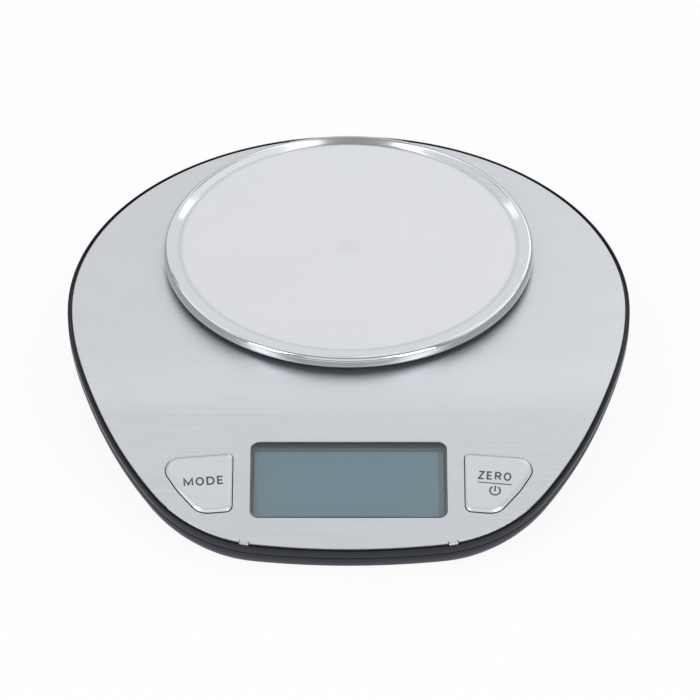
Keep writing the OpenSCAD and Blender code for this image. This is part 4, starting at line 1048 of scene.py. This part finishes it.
# Housing screws: eight pan-head screws of zinc-plated steel. They go up through the posts of the lower
# housing and bite into those of the upper housing.

dress(["housing_screws"], zinc, 0.12)


# Studio: a plain pale table in a white room with soft boxes all round. The two narrow strips at the back
# make the light bands in the plate's polished ring. The camera looks from the front and above.

table = bpy.data.meshes.new("table")
table.from_pydata([(-6, -6, 0), (6, -6, 0), (6, 6, 0), (-6, 6, 0)], [], [(0, 1, 2, 3)])
floor = bpy.data.objects.new("table", table)
bpy.context.collection.objects.link(floor)
paper = Finish("white_table", {"Base Color": (0.9, 0.9, 0.9), "Roughness": 0.9})
seen = paper.node("LightPath", {}, {}, "Is Camera Ray")
seen += paper.node("LightPath", {}, {}, "Is Glossy Ray")
seen += paper.node("LightPath", {}, {}, "Is Transmission Ray")
bright = paper.tree.nodes.new("ShaderNodeEmission")
mixed = paper.tree.nodes.new("ShaderNodeMixShader")
paper.feed({"Fac": seen * 0.92}, mixed)
paper.tree.links.new(paper.shader.outputs[0], mixed.inputs[1])
paper.tree.links.new(bright.outputs[0], mixed.inputs[2])
paper.tree.links.new(mixed.outputs[0], paper.tree.nodes["Material Output"].inputs["Surface"])
floor.data.materials.append(paper.material)

room = bpy.data.worlds.new("white_room")
room.use_nodes = True
room.node_tree.nodes["Background"].inputs["Color"].default_value = (1, 1, 1, 1)
room.node_tree.nodes["Background"].inputs["Strength"].default_value = 0.42
bpy.context.scene.world = room


def lamp(name, azimuth, height, far, wide, high, bright):
    """A soft box, so many degrees round from the back and up from the table, and as bright as that."""
    data = bpy.data.lights.new(name, "AREA")
    data.shape, data.size, data.size_y = "RECTANGLE", wide, high
    data.energy = bright * math.pi * wide * high
    made = bpy.data.objects.new(name, data)
    bpy.context.collection.objects.link(made)
    turned, up = math.radians(azimuth), math.radians(height)
    flat = far * math.cos(up)
    made.location = (flat * math.sin(turned), flat * math.cos(turned), far * math.sin(up))
    made.rotation_euler = (-made.location).to_track_quat("-Z", "Y").to_euler()


lamp("back_box", 3, 31, 2.2, 3.0, 0.88, 0.6)
lamp("back_right_low_box", 24, 31, 2.2, 0.75, 0.88, 0.6)
lamp("back_left_strip", -3.25, 51, 2.2, 0.036, 0.74, 1.2)
lamp("back_right_strip", 2.35, 51, 2.2, 0.046, 0.74, 1.2)
lamp("back_left_box", -27.5, 52, 2.2, 1.26, 0.78, 0.53)
lamp("back_right_box", 27.5, 52, 2.2, 1.26, 0.78, 0.72)
lamp("top_box", 0, 74, 2.2, 2.4, 0.9, 0.65)
lamp("left_box", -75, 45, 2.4, 2.4, 1.0, 0.6)
lamp("right_box", 75, 45, 2.4, 2.4, 1.0, 0.6)
lamp("front_box", 180, 42, 2.6, 2.2, 2.1, 0.6)
lamp("front_left_box", -130, 33, 2.4, 0.75, 1.9, 3.0)
lamp("front_right_box", 140, 33, 2.4, 0.9, 1.9, 2.6)

camera = bpy.data.cameras.new("camera")
camera.sensor_width, camera.lens, camera.shift_x = 36.0, 225.82, 0.00186
viewer = bpy.data.objects.new("camera", camera)
bpy.context.collection.objects.link(viewer)
viewer.location = (0.0, -1.331596, 1.085935)
viewer.rotation_euler = (math.radians(90 - 38.882), 0, 0)
camera.clip_start, camera.clip_end = 0.1, 50
bpy.context.scene.camera = viewer
bpy.context.scene.view_settings.view_transform = "Standard"
